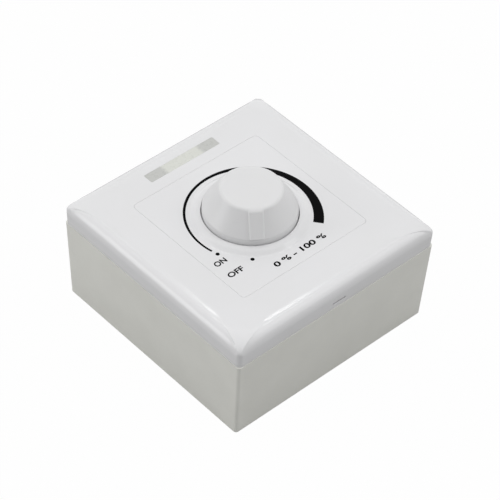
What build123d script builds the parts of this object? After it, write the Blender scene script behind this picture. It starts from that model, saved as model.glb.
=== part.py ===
from build123d import *
import math
import os

# Rotary light dimmer in the square 86 mm wall format, with its own surface box.
# It lies on its back: origin at the centre of the box's back, +Z out of the front,
# +Y up when it hangs on a wall. All sizes are in millimetres.

# Front cover: a shallow moulded tray with rolled edges, between which a tongue rolls down at each corner
PLATE_SIDE = 86.0
PLATE_CORNER = 2.6
COVER_HEIGHT = 9.0
COVER_BORDER = 15.75
COVER_TOP_WALL = 2.2
COVER_SKIRT_WALL = 1.6
COVER_INNER_CHAMFER = 2.4
COVER_INNER_CORNER = 1.6
ROLL_WIDTH = 3.65
ROLL_DROP = 3.65
CREASE_ANGLE = 9.0
TONGUE_LENGTH = 10.5
TONGUE_OVERHANG = 0.3
PRY_SLOT_WIDTH = 5.6
PRY_SLOT_HEIGHT = 0.7
PRY_SLOT_LIFT = 2.0

# Snap hooks that hold the cover to the yoke
HOOK_WIDTH = 6.0
HOOK_WALL = 1.4
HOOK_NOSE = 0.9
HOOK_NOSE_HEIGHT = 1.0
HOOK_TIP = 0.8
HOOK_FLEX = 1.0
HOOK_SPREAD = 50.0

# Window in the cover, with its lens and the pale strip behind it
WINDOW_LENGTH = 30.0
WINDOW_WIDTH = 4.2
WINDOW_MARGIN = 4.45
WINDOW_CORNER = 0.4
LENS_RECESS = 0.2
LENS_FLANGE = 1.2
LENS_FLANGE_HEIGHT = 1.0
GLOW_LENGTH = 15.5
GLOW_HEIGHT = 0.8

# Square face plate in the middle of the cover
INSERT_CORNER = 1.6
INSERT_HEIGHT = 1.2
INSERT_LEDGE = 1.6
COLLAR_HEIGHT = 0.95
COLLAR_LAND = 2.2
COLLAR_SLOPE = 1.4
WELL_WALL = 1.2
WELL_FLOOR = 1.2
WELL_DEPTH = 0.8
LEG_WIDTH = 6.0
LEG_WALL = 1.2
LEG_NOSE = 0.7
LEG_NOSE_HEIGHT = 0.8
LEG_SPREAD = 34.0

# Knob: a hollow cone with a hub and a flat pointer rib
KNOB_BASE_DIAMETER = 31.8
KNOB_TOP_DIAMETER = 20.8
KNOB_HEIGHT = 10.85
KNOB_BAND = 1.6
KNOB_SINK = 0.8
KNOB_WALL = 1.8
KNOB_EDGE = 1.2
KNOB_HUB_WALL = 2.0
KNOB_HUB_RISE = 0.8
KNOB_WEB = 1.0
POINTER_WIDTH = 5.1
POINTER_RISE = 0.4
POINTER_EDGE = 0.25
POINTER_LIFT = 0.35
REST_ANGLE = -124.0
TURN_RANGE = 290.0

# Box on the wall
BOX_HEIGHT = 32.0
BOX_CORNER = 1.2
BOX_DRAFT = 1.1
BOX_FLOOR = 2.2
BOX_INNER_CORNER = 1.2
LIP_WALL = 0.8
LIP_HEIGHT = 1.0
FIXING_CENTRES = 60.0
PILLAR_SIDE = 10.0
PILLAR_CORNER = 1.5
PILLAR_WEB = 3.0
CORNER_POST_SEAT = 4.4
CORNER_POST_ROUND = 1.4
WALL_SLOT_CENTRES = 60.0
WALL_SLOT_WIDTH = 4.6
WALL_SLOT_LENGTH = 9.0
KNOCKOUT_DIAMETER = 22.0
KNOCKOUT_GROOVE = 1.2
KNOCKOUT_SKIN = 0.7

# Machine screws and nuts between yoke and box
SCREW_DIAMETER = 3.9
SCREW_HEAD_DIAMETER = 7.2
SCREW_HEAD_HEIGHT = 2.4
SCREW_LENGTH = 18.0
NUT_SIDE = 7.0
NUT_HEIGHT = 3.2
NUT_DEPTH = 8.0

# Shape of every screw's head, as shares of its height and width
HEAD_ROUNDING = 0.6
SLOT_DEPTH = 0.5
SLOT_LENGTH = 0.6
SLOT_WIDTH = 0.13

# Yoke: the moulded carrier between cover, box and electronics
YOKE_WALL = 2.0
YOKE_CORNER = 3.0
YOKE_EDGE_GAP = 0.6
YOKE_RIM = 1.6
YOKE_SLOT_LENGTH = 8.0
YOKE_RIB_SIDE = 46.0
YOKE_RIB_WALL = 1.2
YOKE_RIB_HEIGHT = 1.2
POST_DIAMETER = 5.6
SPIGOT_WALL = 1.2
SPIGOT_HEIGHT = 1.6

# Rear case of the electronics
HOUSING_LENGTH = 54.0
HOUSING_DEPTH = 22.0
HOUSING_WALL = 1.6
HOUSING_CORNER = 2.5
PILLAR_GAP = 1.25
BOARD_STANDOFF = 5.4
STANDOFF_WIDTH = 4.0
STANDOFF_REACH = 2.4
VENT_COUNT = 7
VENT_PITCH = 3.6
VENT_WIDTH = 1.8
VENT_LENGTH = 9.0
SMALL_SCREW_DIAMETER = 2.2
SMALL_SCREW_HEAD_DIAMETER = 4.6
SMALL_SCREW_HEAD_HEIGHT = 1.5
SMALL_SCREW_LENGTH = 8.0

# Control: potentiometer with a switch behind it
POT_DIAMETER = 16.8
POT_CAN_HEIGHT = 6.8
POT_CAN_WALL = 0.8
POT_STANDOFF = 0.4
SHAFT_DIAMETER = 6.0
SHAFT_FLAT = 4.5
SHAFT_ENGAGEMENT = 7.0
JOURNAL_DIAMETER = 4.0
BUSH_DIAMETER = 7.2
BUSH_FLANGE_DIAMETER = 10.0
BUSH_FLANGE_HEIGHT = 0.8
BUSH_SPARE = 0.8
WASHER_DIAMETER = 13.0
WASHER_HEIGHT = 0.6
BUSH_NUT_FLATS = 10.0
BUSH_NUT_HEIGHT = 2.2
ROTOR_DIAMETER = 9.6
ROTOR_HEIGHT = 1.6
ROTOR_ARM_SPAN = 20.0
STOP_PLAY = 1.5
WIPER_HEIGHT = 0.3
WIPER_CONTACT = 0.4
TRACK_HEIGHT = 1.0
TRACK_RAISE = 0.2
TRACK_WIDTH = 1.6
PIN_DIAMETER = 1.0
PIN_COUNT = 5
PIN_PITCH = 2.5
PIN_TAIL = 2.0

# Circuit board and what stands on it
BOARD_HEIGHT = 1.6
BOARD_CORNER = 1.0
WAY_COUNT = 4
WAY_PITCH = 5.0
TERMINAL_DEPTH = 8.0
TERMINAL_HEIGHT = 10.0
TERMINAL_CHAMFER = 1.4
TERMINAL_END_WALL = 0.5
CLAMP_WIDTH = 3.8
CLAMP_DEPTH = 4.8
CLAMP_HEIGHT = 4.6
CLAMP_WALL = 0.7
TERMINAL_SCREW_DIAMETER = 2.4
TERMINAL_SCREW_HEAD = 3.4
TERMINAL_SCREW_HEAD_HEIGHT = 1.4
TERMINAL_SCREW_LENGTH = 2.2
HEAT_SINK_HEIGHT = 11.0
HEAT_SINK_WALL = 2.0
FIN_COUNT = 7
FIN_DEPTH = 5.0
FIN_WALL = 1.2
TRANSISTOR_WIDTH = 8.0
TRANSISTOR_DEPTH = 3.2
TRANSISTOR_HEIGHT = 9.0
TRANSISTOR_LIFT = 1.4
TRANSISTOR_HOLE = 6.0
TRANSISTOR_LEAD = 0.8
TRANSISTOR_LEAD_PITCH = 2.3
TRANSISTOR_SCREW_LENGTH = 4.6
TALL_PART_MARGIN = 3.0
CAPACITOR_DIAMETER = 10.0
CAPACITOR_HEIGHT = 11.5
CAPACITOR_GROOVE = 0.5
FILM_WIDTH = 6.0
FILM_LENGTH = 13.0
FILM_HEIGHT = 9.5
CHOKE_DIAMETER = 10.0
CHOKE_HEIGHT = 10.0
CHOKE_FLANGE = 1.4
CHOKE_CORE_DIAMETER = 5.0
CHIP_WIDTH = 4.0
CHIP_LENGTH = 5.0
CHIP_HEIGHT = 1.5
CHIP_LEADS = 4
CHIP_LEAD_PITCH = 1.27
CHIP_LEAD_REACH = 1.0
CHIP_LEAD_WIDTH = 0.5
CHIP_LEAD_HEIGHT = 0.4

# Clearances and small allowances
FIT_GAP = 0.2
INSERT_GAP = 0.15
CLIP_GAP = 0.1
KNOB_GAP = 0.3
RUNNING_GAP = 0.05
HOLE_GAP = 0.3
PART_GAP = 0.5
MOVING_GAP = 0.4
BURY = 0.5
WASTE = 5.0
ROLL_FULLNESS = 0.55
TONGUE_FULLNESS = 0.7

# Heights and half sizes that follow from the above
HALF = PLATE_SIDE / 2
SEAM = BOX_HEIGHT
TOP = SEAM + COVER_HEIGHT
CEILING = TOP - COVER_TOP_WALL
LEDGE_TOP = TOP - INSERT_HEIGHT
INSERT_SIDE = PLATE_SIDE - 2 * COVER_BORDER
INSERT_HALF = INSERT_SIDE / 2
LEDGE_HALF = INSERT_HALF + INSERT_GAP - INSERT_LEDGE
SKIRT_INNER = HALF - COVER_SKIRT_WALL
LIP_HALF = SKIRT_INNER - FIT_GAP
CAVITY_HALF = LIP_HALF - LIP_WALL
BOX_WALL = HALF - CAVITY_HALF
WALL_BITE_HALF = HALF - BOX_DRAFT - BOX_WALL / 2
YOKE_HALF = CAVITY_HALF - YOKE_EDGE_GAP
YOKE_TOP = SEAM + YOKE_WALL
HOOK_OUTER = YOKE_HALF - YOKE_RIM - HOOK_FLEX
HOOK_INNER = HOOK_OUTER - HOOK_WALL
WINDOW_Y = INSERT_HALF + WINDOW_MARGIN + WINDOW_WIDTH / 2
FLANGE_BOTTOM = CEILING - LENS_FLANGE_HEIGHT
FIXING_X = FIXING_CENTRES / 2
NUT_BASE = SEAM - NUT_DEPTH - NUT_HEIGHT

KNOB_BOTTOM = TOP - KNOB_SINK
KNOB_BAND_TOP = TOP + COLLAR_HEIGHT + KNOB_BAND
KNOB_TOP = KNOB_BAND_TOP + KNOB_HEIGHT - KNOB_BAND
KNOB_RADIUS = KNOB_BASE_DIAMETER / 2
KNOB_TOP_RADIUS = KNOB_TOP_DIAMETER / 2
KNOB_CEILING = KNOB_TOP - KNOB_WALL
KNOB_HOLE = KNOB_RADIUS + KNOB_GAP
HUB_BOTTOM = KNOB_BOTTOM + KNOB_HUB_RISE
WELL_TOP = KNOB_BOTTOM - WELL_DEPTH
WELL_BOTTOM = WELL_TOP - WELL_FLOOR

HOUSING_WIDTH = FIXING_CENTRES - PILLAR_SIDE - 2 * PILLAR_GAP
HOUSING_BACK = SEAM - HOUSING_DEPTH
HOUSING_FLOOR = HOUSING_BACK + HOUSING_WALL
INNER_X = HOUSING_WIDTH / 2 - HOUSING_WALL
INNER_Y = HOUSING_LENGTH / 2 - HOUSING_WALL
POST_RADIUS = POST_DIAMETER / 2
POST_X = INNER_X - POST_RADIUS - PART_GAP
POST_Y = INNER_Y - POST_RADIUS - PART_GAP
BOARD_BOTTOM = HOUSING_FLOOR + BOARD_STANDOFF
BOARD_TOP = BOARD_BOTTOM + BOARD_HEIGHT
BOARD_X = INNER_X - PART_GAP
BOARD_Y = INNER_Y - PART_GAP

POT_RADIUS = POT_DIAMETER / 2
CAN_INNER = POT_RADIUS - POT_CAN_WALL
CAN_BOTTOM = SEAM - POT_CAN_HEIGHT
CAN_CEILING = SEAM - POT_CAN_WALL
SWITCH_BOTTOM = BOARD_TOP + POT_STANDOFF
SHAFT_RADIUS = SHAFT_DIAMETER / 2
BUSH_RADIUS = BUSH_DIAMETER / 2
WASHER_TOP = YOKE_TOP + WASHER_HEIGHT
BUSH_NUT_TOP = WASHER_TOP + BUSH_NUT_HEIGHT
BUSH_TOP = BUSH_NUT_TOP + BUSH_SPARE
FLANGE_LOW = CAN_CEILING - BUSH_FLANGE_HEIGHT
ROTOR_TOP = FLANGE_LOW - MOVING_GAP
ROTOR_BOTTOM = ROTOR_TOP - ROTOR_HEIGHT
ROTOR_RADIUS = ROTOR_DIAMETER / 2
ARM_RADIUS = CAN_INNER - MOVING_GAP
WIPER_BOTTOM = ROTOR_BOTTOM - WIPER_HEIGHT
CONTACT_BOTTOM = WIPER_BOTTOM - WIPER_CONTACT
TRACK_TOP = CONTACT_BOTTOM - HOLE_GAP
WAFER_TOP = TRACK_TOP - TRACK_RAISE
WAFER_BOTTOM = WAFER_TOP - TRACK_HEIGHT
TRACK_RADIUS = (ROTOR_RADIUS + ARM_RADIUS) / 2
SHAFT_TOP = HUB_BOTTOM + SHAFT_ENGAGEMENT
SHAFT_FLAT_OFFSET = SHAFT_FLAT - SHAFT_RADIUS

TERMINAL_LENGTH = WAY_COUNT * WAY_PITCH + 2 * TERMINAL_END_WALL
TERMINAL_BOTTOM = BOARD_BOTTOM - TERMINAL_HEIGHT
TERMINAL_Y = -(POST_Y - POST_RADIUS - PART_GAP - TERMINAL_DEPTH / 2)
CLAMP_TOP = BOARD_BOTTOM - CLAMP_WALL
CLAMP_BOTTOM = CLAMP_TOP - CLAMP_HEIGHT
HEAT_SINK_WIDTH = 2 * (POST_X - POST_RADIUS - PART_GAP)
TRANSISTOR_HOLE_Z = BOARD_TOP + TRANSISTOR_LIFT + TRANSISTOR_HOLE
HEAT_SINK_FRONT = BOARD_Y - FIN_DEPTH - HEAT_SINK_WALL
SIDE_PART_X = (POT_RADIUS + BOARD_X) / 2
TALL_PART_X = POST_X - POST_RADIUS - PART_GAP - CAPACITOR_DIAMETER / 2
TALL_PART_Y = -(BOARD_Y - TALL_PART_MARGIN - CAPACITOR_DIAMETER / 2)
BASE = (Align.CENTER, Align.CENTER, Align.MIN)


def block(width, length, bottom, top, corner):
    """Upright block with rounded corners between two heights."""
    outline = RectangleRounded(width, length, corner)
    return Pos(0, 0, bottom) * extrude(outline, amount=top - bottom)


def bar(width, length, bottom, top):
    """Upright block with square corners between two heights."""
    return Pos(0, 0, bottom) * Box(width, length, top - bottom, align=BASE)


def disc(radius, bottom, top):
    """Upright cylinder on the centre line between two heights."""
    return Pos(0, 0, bottom) * Cylinder(radius, top - bottom, align=BASE)


def ring(outer, inner, bottom, top):
    """Upright tube on the centre line between two heights."""
    return disc(outer, bottom, top) - disc(inner, bottom, top)


def tapered_block(low_side, high_side, corner, bottom, top):
    """Square block with rounded corners whose sides lean evenly."""
    low = Pos(0, 0, bottom) * RectangleRounded(low_side, low_side, corner)
    high = Pos(0, 0, top) * RectangleRounded(high_side, high_side, corner)
    return loft([low, high])


def outline_face(points):
    """Flat face inside a closed outline of straight runs."""
    return make_face(Polyline(*points, close=True))


def turned(points, span=360.0):
    """Solid of revolution about the centre line: points are (radius, height)."""
    return revolve(Plane.XZ * outline_face(points), axis=Axis.Z, revolution_arc=span)


def along_x(points, length):
    """Bar with a side profile of (y, z) points, centred on X."""
    return extrude(Plane.YZ * outline_face(points), amount=length / 2, both=True)


def along_y(points, length):
    """Bar with a front profile of (x, z) points, centred on Y."""
    return extrude(Plane.XZ * outline_face(points), amount=length / 2, both=True)


def at_four(piece, x, y):
    """Four copies of a piece, one in each quarter."""
    return [Pos(side_x * x, side_y * y, 0) * piece for side_x in (-1, 1) for side_y in (-1, 1)]


def at_two(piece, x):
    """Two copies of a piece, left and right."""
    return [Pos(-x, 0, 0) * piece, Pos(x, 0, 0) * piece]


def group(pieces):
    """Like pieces kept together as separate solids."""
    return Compound(children=list(pieces))


def pan_screw(diameter, head_diameter, head_height, length):
    """Cross-slot pan screw: the underside of its head is at zero and its shank points down."""
    head = disc(head_diameter / 2, 0, head_height)
    head = fillet(head.edges().sort_by(Axis.Z)[-1], head_height * HEAD_ROUNDING)
    slot_floor = head_height * (1 - SLOT_DEPTH)
    slot = bar(head_diameter * SLOT_LENGTH, head_diameter * SLOT_WIDTH, slot_floor, head_height + WASTE)
    return head + disc(diameter / 2, -length, 0) - slot - Rot(0, 0, 90) * slot


def roll_waste(edge, width, slope, fullness):
    """What a rolled edge takes off the cover, drawn square to that edge as (x, z)."""
    reach = width * ROLL_FULLNESS
    crease_x = edge - width
    side_z = TOP - ROLL_DROP
    crease = (crease_x, TOP)
    side = (edge, side_z)
    crease_pull = (crease_x + reach, TOP - reach * slope)
    side_pull = (edge, side_z + ROLL_DROP * fullness)
    curve = Bezier(crease, crease_pull, side_pull, side)
    far = edge + WASTE
    high = TOP + WASTE
    rest = Polyline(side, (far, side_z), (far, high), (crease_x, high), crease)
    return Plane.XZ * make_face(Curve() + [curve, rest])


def side_roll():
    """Waste along the right side of the cover."""
    slope = math.tan(math.radians(CREASE_ANGLE))
    return extrude(roll_waste(HALF, ROLL_WIDTH, slope, ROLL_FULLNESS), amount=HALF + WASTE, both=True)


def corner_roll():
    """Waste over one corner of the cover, which leaves the tongue between two sides."""
    corner_reach = (HALF - PLATE_CORNER) * math.sqrt(2) + PLATE_CORNER
    profile = roll_waste(corner_reach + TONGUE_OVERHANG, TONGUE_LENGTH, 0, TONGUE_FULLNESS)
    return Rot(0, 0, 45) * extrude(profile, amount=2 * TONGUE_LENGTH, both=True)


def cover_hook():
    """Snap hook of the cover on the upper side: its nose catches under the yoke."""
    catch = SEAM - CLIP_GAP
    lead = catch - HOOK_NOSE_HEIGHT
    tip = lead - HOOK_TIP
    root = CEILING + BURY
    profile = [
        (HOOK_INNER, root),
        (HOOK_OUTER, root),
        (HOOK_OUTER, tip),
        (HOOK_INNER, tip),
        (HOOK_INNER - HOOK_NOSE, lead),
        (HOOK_INNER - HOOK_NOSE, catch),
        (HOOK_INNER, catch),
    ]
    return along_x(profile, HOOK_WIDTH)


def cover_frame():
    """Glossy front frame, moulded in one piece with its hooks."""
    shell = block(PLATE_SIDE, PLATE_SIDE, SEAM, TOP, PLATE_CORNER)
    for turn in range(4):
        shell -= Rot(0, 0, 90 * turn) * side_roll()
    for turn in range(4):
        shell -= Rot(0, 0, 90 * turn) * corner_roll()
    inside = 2 * SKIRT_INNER
    lean = CEILING - COVER_INNER_CHAMFER
    shell -= block(inside, inside, SEAM, lean, COVER_INNER_CORNER)
    shell -= tapered_block(inside, inside - 2 * COVER_INNER_CHAMFER, COVER_INNER_CORNER, lean, CEILING)
    seat = INSERT_SIDE + 2 * INSERT_GAP
    shell -= block(seat, seat, LEDGE_TOP, TOP + WASTE, INSERT_CORNER)
    shell -= block(2 * LEDGE_HALF, 2 * LEDGE_HALF, SEAM, TOP, INSERT_CORNER)
    shell -= Pos(0, WINDOW_Y, 0) * block(WINDOW_LENGTH, WINDOW_WIDTH, SEAM, TOP + WASTE, WINDOW_CORNER)
    slot_low = SEAM + PRY_SLOT_LIFT
    slot = bar(PRY_SLOT_WIDTH, 2 * COVER_SKIRT_WALL, slot_low, slot_low + PRY_SLOT_HEIGHT)
    shell -= Pos(0, -HALF + COVER_SKIRT_WALL / 2, 0) * slot
    for hook in at_two(cover_hook(), HOOK_SPREAD / 2):
        shell += [hook, mirror(hook, about=Plane.XZ)]
    return shell


def insert_leg():
    """Clip leg of the face plate on the right: its nose catches under the cover's ledge."""
    outer = LEDGE_HALF - HOLE_GAP
    inner = outer - LEG_WALL
    catch = CEILING - CLIP_GAP
    lead = catch - LEG_NOSE_HEIGHT
    profile = [
        (inner, LEDGE_TOP + BURY),
        (inner, lead - LEG_NOSE),
        (outer, lead - LEG_NOSE),
        (outer + LEG_NOSE, lead),
        (outer + LEG_NOSE, catch),
        (outer, catch),
        (outer, LEDGE_TOP + BURY),
    ]
    return along_y(profile, LEG_WIDTH)


def face_insert():
    """Face plate with the low collar and the dished well that the knob turns in."""
    plate = block(INSERT_SIDE, INSERT_SIDE, LEDGE_TOP, TOP, INSERT_CORNER)
    land = KNOB_HOLE + COLLAR_LAND
    foot = land + COLLAR_SLOPE
    collar_top = TOP + COLLAR_HEIGHT
    plate += turned([(0, LEDGE_TOP), (foot, LEDGE_TOP), (foot, TOP), (land, collar_top), (0, collar_top)])
    plate += disc(KNOB_HOLE + WELL_WALL, WELL_BOTTOM, LEDGE_TOP + BURY)
    plate -= disc(KNOB_HOLE, WELL_TOP, TOP + WASTE)
    plate -= disc(BUSH_RADIUS + HOLE_GAP, WELL_BOTTOM, WELL_TOP)
    for leg in (insert_leg(), mirror(insert_leg(), about=Plane.YZ)):
        plate += [Pos(0, -LEG_SPREAD / 2, 0) * leg, Pos(0, LEG_SPREAD / 2, 0) * leg]
    return plate


def window_lens():
    """Clear strip pushed into the window from behind, with a flange against the ceiling."""
    length = WINDOW_LENGTH - 2 * INSERT_GAP
    width = WINDOW_WIDTH - 2 * INSERT_GAP
    lens = block(length, width, FLANGE_BOTTOM, TOP - LENS_RECESS, WINDOW_CORNER)
    lens += bar(WINDOW_LENGTH + 2 * LENS_FLANGE, WINDOW_WIDTH + 2 * LENS_FLANGE, FLANGE_BOTTOM, CEILING)
    return Pos(0, WINDOW_Y, 0) * lens


def glow_strip():
    """Pale strip stuck to the middle of the lens from behind."""
    return Pos(0, WINDOW_Y, 0) * bar(GLOW_LENGTH, WINDOW_WIDTH, FLANGE_BOTTOM - GLOW_HEIGHT, FLANGE_BOTTOM)


def cone_radius(height):
    """Radius of the knob's outside at a height."""
    share = (height - KNOB_BAND_TOP) / (KNOB_TOP - KNOB_BAND_TOP)
    return KNOB_RADIUS + (KNOB_TOP_RADIUS - KNOB_RADIUS) * share


def pointer_rib():
    """Flat-faced bar down the knob's side, from its top to just above the base band."""
    low = KNOB_BAND_TOP + POINTER_LIFT
    profile = [
        (cone_radius(KNOB_TOP) - BURY, KNOB_TOP),
        (cone_radius(KNOB_TOP) + POINTER_RISE, KNOB_TOP),
        (cone_radius(low) + POINTER_RISE, low),
        (cone_radius(low) - BURY, low),
    ]
    rib = along_y(profile, POINTER_WIDTH)
    front = rib.faces().sort_by(Axis.X)[-1]
    return chamfer(front.edges(), POINTER_EDGE)


def d_bar(radius, flat, bottom, top):
    """Round bar with one flat, facing +X."""
    flat_cut = Pos(flat + radius, 0, 0) * bar(2 * radius, 2 * radius, bottom, top)
    return disc(radius, bottom, top) - flat_cut


def knob():
    """Hollow conical knob, moulded in one piece with its hub, webs and pointer."""
    body = turned([
        (0, KNOB_BOTTOM),
        (KNOB_RADIUS, KNOB_BOTTOM),
        (KNOB_RADIUS, KNOB_BAND_TOP),
        (KNOB_TOP_RADIUS, KNOB_TOP),
        (0, KNOB_TOP),
    ])
    body = fillet(body.edges().filter_by(GeomType.CIRCLE).sort_by(Axis.Z)[-1], KNOB_EDGE)
    body += pointer_rib()
    inner_base = KNOB_RADIUS - KNOB_WALL
    inner_top = cone_radius(KNOB_CEILING) - KNOB_WALL
    body -= turned([
        (0, KNOB_BOTTOM),
        (inner_base, KNOB_BOTTOM),
        (inner_base, KNOB_BAND_TOP),
        (inner_top, KNOB_CEILING),
        (0, KNOB_CEILING),
    ])
    hub = SHAFT_RADIUS + KNOB_HUB_WALL
    body += disc(hub, HUB_BOTTOM, KNOB_CEILING + BURY)
    web_top = KNOB_CEILING + BURY
    web_low = (HUB_BOTTOM + KNOB_CEILING) / 2
    web_reach = cone_radius(web_top) - KNOB_WALL
    web = bar(2 * web_reach, KNOB_WEB, web_low, web_top)
    body += [web, Rot(0, 0, 90) * web]
    bore_top = SHAFT_TOP + RUNNING_GAP
    body -= d_bar(SHAFT_RADIUS + RUNNING_GAP, SHAFT_FLAT_OFFSET + RUNNING_GAP, HUB_BOTTOM, bore_top)
    return Rot(0, 0, REST_ANGLE) * body


def back_box():
    """Surface box: drafted walls, an upstanding lip, screw pillars, corner posts and wall slots."""
    shell = tapered_block(PLATE_SIDE - 2 * BOX_DRAFT, PLATE_SIDE, BOX_CORNER, 0, SEAM)
    lip_top = SEAM + LIP_HEIGHT
    shell += block(2 * LIP_HALF, 2 * LIP_HALF, SEAM - BURY, lip_top, BOX_INNER_CORNER + LIP_WALL)
    floor_side = 2 * (CAVITY_HALF - BOX_DRAFT)
    shell -= tapered_block(floor_side, 2 * CAVITY_HALF, BOX_INNER_CORNER, BOX_FLOOR, lip_top)

    pillar = block(PILLAR_SIDE, PILLAR_SIDE, 0, SEAM, PILLAR_CORNER)
    web_length = WALL_BITE_HALF - FIXING_X
    web = bar(web_length, PILLAR_WEB, 0, SEAM)
    for side in (-1, 1):
        shell += Pos(side * FIXING_X, 0, 0) * pillar
        shell += Pos(side * (FIXING_X + web_length / 2), 0, 0) * web
    post_inner = YOKE_HALF - CORNER_POST_SEAT
    post_side = WALL_BITE_HALF - post_inner
    post = block(post_side, post_side, 0, SEAM, CORNER_POST_ROUND)
    post_centre = post_inner + post_side / 2
    shell += at_four(post, post_centre, post_centre)

    bore = disc(SCREW_DIAMETER / 2 + HOLE_GAP, SEAM - SCREW_LENGTH - YOKE_WALL, SEAM)
    pocket_width = NUT_SIDE + 2 * FIT_GAP
    pocket = bar(PILLAR_SIDE + WASTE, pocket_width, NUT_BASE, NUT_BASE + NUT_HEIGHT + FIT_GAP)
    pocket_shift = (PILLAR_SIDE + WASTE - pocket_width) / 2
    for side in (-1, 1):
        shell -= Pos(side * FIXING_X, 0, 0) * bore
        shell -= Pos(side * (FIXING_X - pocket_shift), 0, 0) * pocket

    slot = extrude(SlotOverall(WALL_SLOT_LENGTH, WALL_SLOT_WIDTH, rotation=90), amount=BOX_FLOOR)
    shell -= [Pos(0, side * WALL_SLOT_CENTRES / 2, 0) * slot for side in (-1, 1)]
    knockout = KNOCKOUT_DIAMETER / 2
    shell -= ring(knockout + KNOCKOUT_GROOVE, knockout, 0, BOX_FLOOR - KNOCKOUT_SKIN)
    return shell


def fixing_nuts():
    """Two square nuts that drop into the pillars' pockets."""
    nut = bar(NUT_SIDE, NUT_SIDE, NUT_BASE, NUT_BASE + NUT_HEIGHT)
    nut -= disc(SCREW_DIAMETER / 2 + RUNNING_GAP, NUT_BASE, NUT_BASE + NUT_HEIGHT)
    return group(at_two(nut, FIXING_X))


def fixing_screws():
    """Two machine screws through the yoke into the nuts."""
    screw = pan_screw(SCREW_DIAMETER, SCREW_HEAD_DIAMETER, SCREW_HEAD_HEIGHT, SCREW_LENGTH)
    return group(at_two(Pos(0, 0, YOKE_TOP) * screw, FIXING_X))


def yoke_frame():
    """Moulded carrier plate with hook windows, a stiffening rib, a spigot and four long posts."""
    plate = block(2 * YOKE_HALF, 2 * YOKE_HALF, SEAM, YOKE_TOP, YOKE_CORNER)
    rib_top = YOKE_TOP + YOKE_RIB_HEIGHT
    rib = block(YOKE_RIB_SIDE, YOKE_RIB_SIDE, YOKE_TOP - BURY, rib_top, YOKE_CORNER)
    rib_inside = YOKE_RIB_SIDE - 2 * YOKE_RIB_WALL
    rib -= block(rib_inside, rib_inside, YOKE_TOP - BURY, rib_top, YOKE_CORNER - YOKE_RIB_WALL)
    plate += rib
    spigot_low = SEAM - SPIGOT_HEIGHT
    spigot_x = 2 * (INNER_X - FIT_GAP)
    spigot_y = 2 * (INNER_Y - FIT_GAP)
    spigot = block(spigot_x, spigot_y, spigot_low, SEAM + BURY, HOUSING_CORNER - HOUSING_WALL)
    spigot -= bar(spigot_x - 2 * SPIGOT_WALL, spigot_y - 2 * SPIGOT_WALL, spigot_low, SEAM)
    plate += spigot
    plate += at_four(disc(POST_RADIUS, HOUSING_FLOOR, SEAM + BURY), POST_X, POST_Y)
    pilot = disc(SMALL_SCREW_DIAMETER / 2 + RUNNING_GAP, HOUSING_FLOOR, HOUSING_FLOOR + SMALL_SCREW_LENGTH)
    plate -= at_four(pilot, POST_X, POST_Y)

    window_low = HOOK_INNER - HOLE_GAP
    window_high = HOOK_OUTER + HOOK_FLEX
    window = bar(HOOK_WIDTH + 2 * PART_GAP, window_high - window_low, SEAM, YOKE_TOP)
    plate -= at_four(window, HOOK_SPREAD / 2, (window_high + window_low) / 2)
    slot = extrude(SlotOverall(YOKE_SLOT_LENGTH, SCREW_DIAMETER + 2 * HOLE_GAP), amount=YOKE_WALL)
    plate -= at_two(Pos(0, 0, SEAM) * slot, FIXING_X)
    plate -= disc(BUSH_RADIUS + RUNNING_GAP, SEAM, YOKE_TOP)
    return plate


def module_housing():
    """Open-topped rear case with board ledges, vents, screw holes and a terminal opening."""
    length = HOUSING_LENGTH
    case = block(HOUSING_WIDTH, length, HOUSING_BACK, SEAM, HOUSING_CORNER)
    case -= block(2 * INNER_X, 2 * INNER_Y, HOUSING_FLOOR, SEAM, HOUSING_CORNER - HOUSING_WALL)
    ledge = bar(STANDOFF_REACH, STANDOFF_WIDTH, HOUSING_FLOOR - BURY, BOARD_BOTTOM)
    ledge_x = INNER_X - STANDOFF_REACH / 2 + BURY
    case += at_four(ledge, ledge_x, POST_Y / 2)
    hole = disc(SMALL_SCREW_DIAMETER / 2 + HOLE_GAP, HOUSING_BACK, HOUSING_FLOOR)
    case -= at_four(hole, POST_X, POST_Y)
    opening = bar(TERMINAL_LENGTH + 2 * PART_GAP, TERMINAL_DEPTH + 2 * PART_GAP, HOUSING_BACK, HOUSING_FLOOR)
    case -= Pos(0, TERMINAL_Y, 0) * opening
    vent = extrude(SlotOverall(VENT_LENGTH, VENT_WIDTH, rotation=90), amount=HOUSING_WALL)
    vent_y = HEAT_SINK_FRONT
    for step in range(VENT_COUNT):
        case -= Pos((step - (VENT_COUNT - 1) / 2) * VENT_PITCH, vent_y, HOUSING_BACK) * vent
    return case


def small_screw(length):
    """Small pan screw of a given length."""
    return pan_screw(SMALL_SCREW_DIAMETER, SMALL_SCREW_HEAD_DIAMETER, SMALL_SCREW_HEAD_HEIGHT, length)


def housing_screws():
    """Four small screws from behind the housing into the yoke's posts."""
    upward = Pos(0, 0, HOUSING_BACK) * Rot(180, 0, 0) * small_screw(SMALL_SCREW_LENGTH)
    return group(at_four(upward, POST_X, POST_Y))


def sector(inner, outer, bottom, top, start, span):
    """Part of a ring from a start angle, counted anticlockwise seen from the front."""
    section = [(inner, bottom), (outer, bottom), (outer, top), (inner, top)]
    return Rot(0, 0, start) * turned(section, span)


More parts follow.
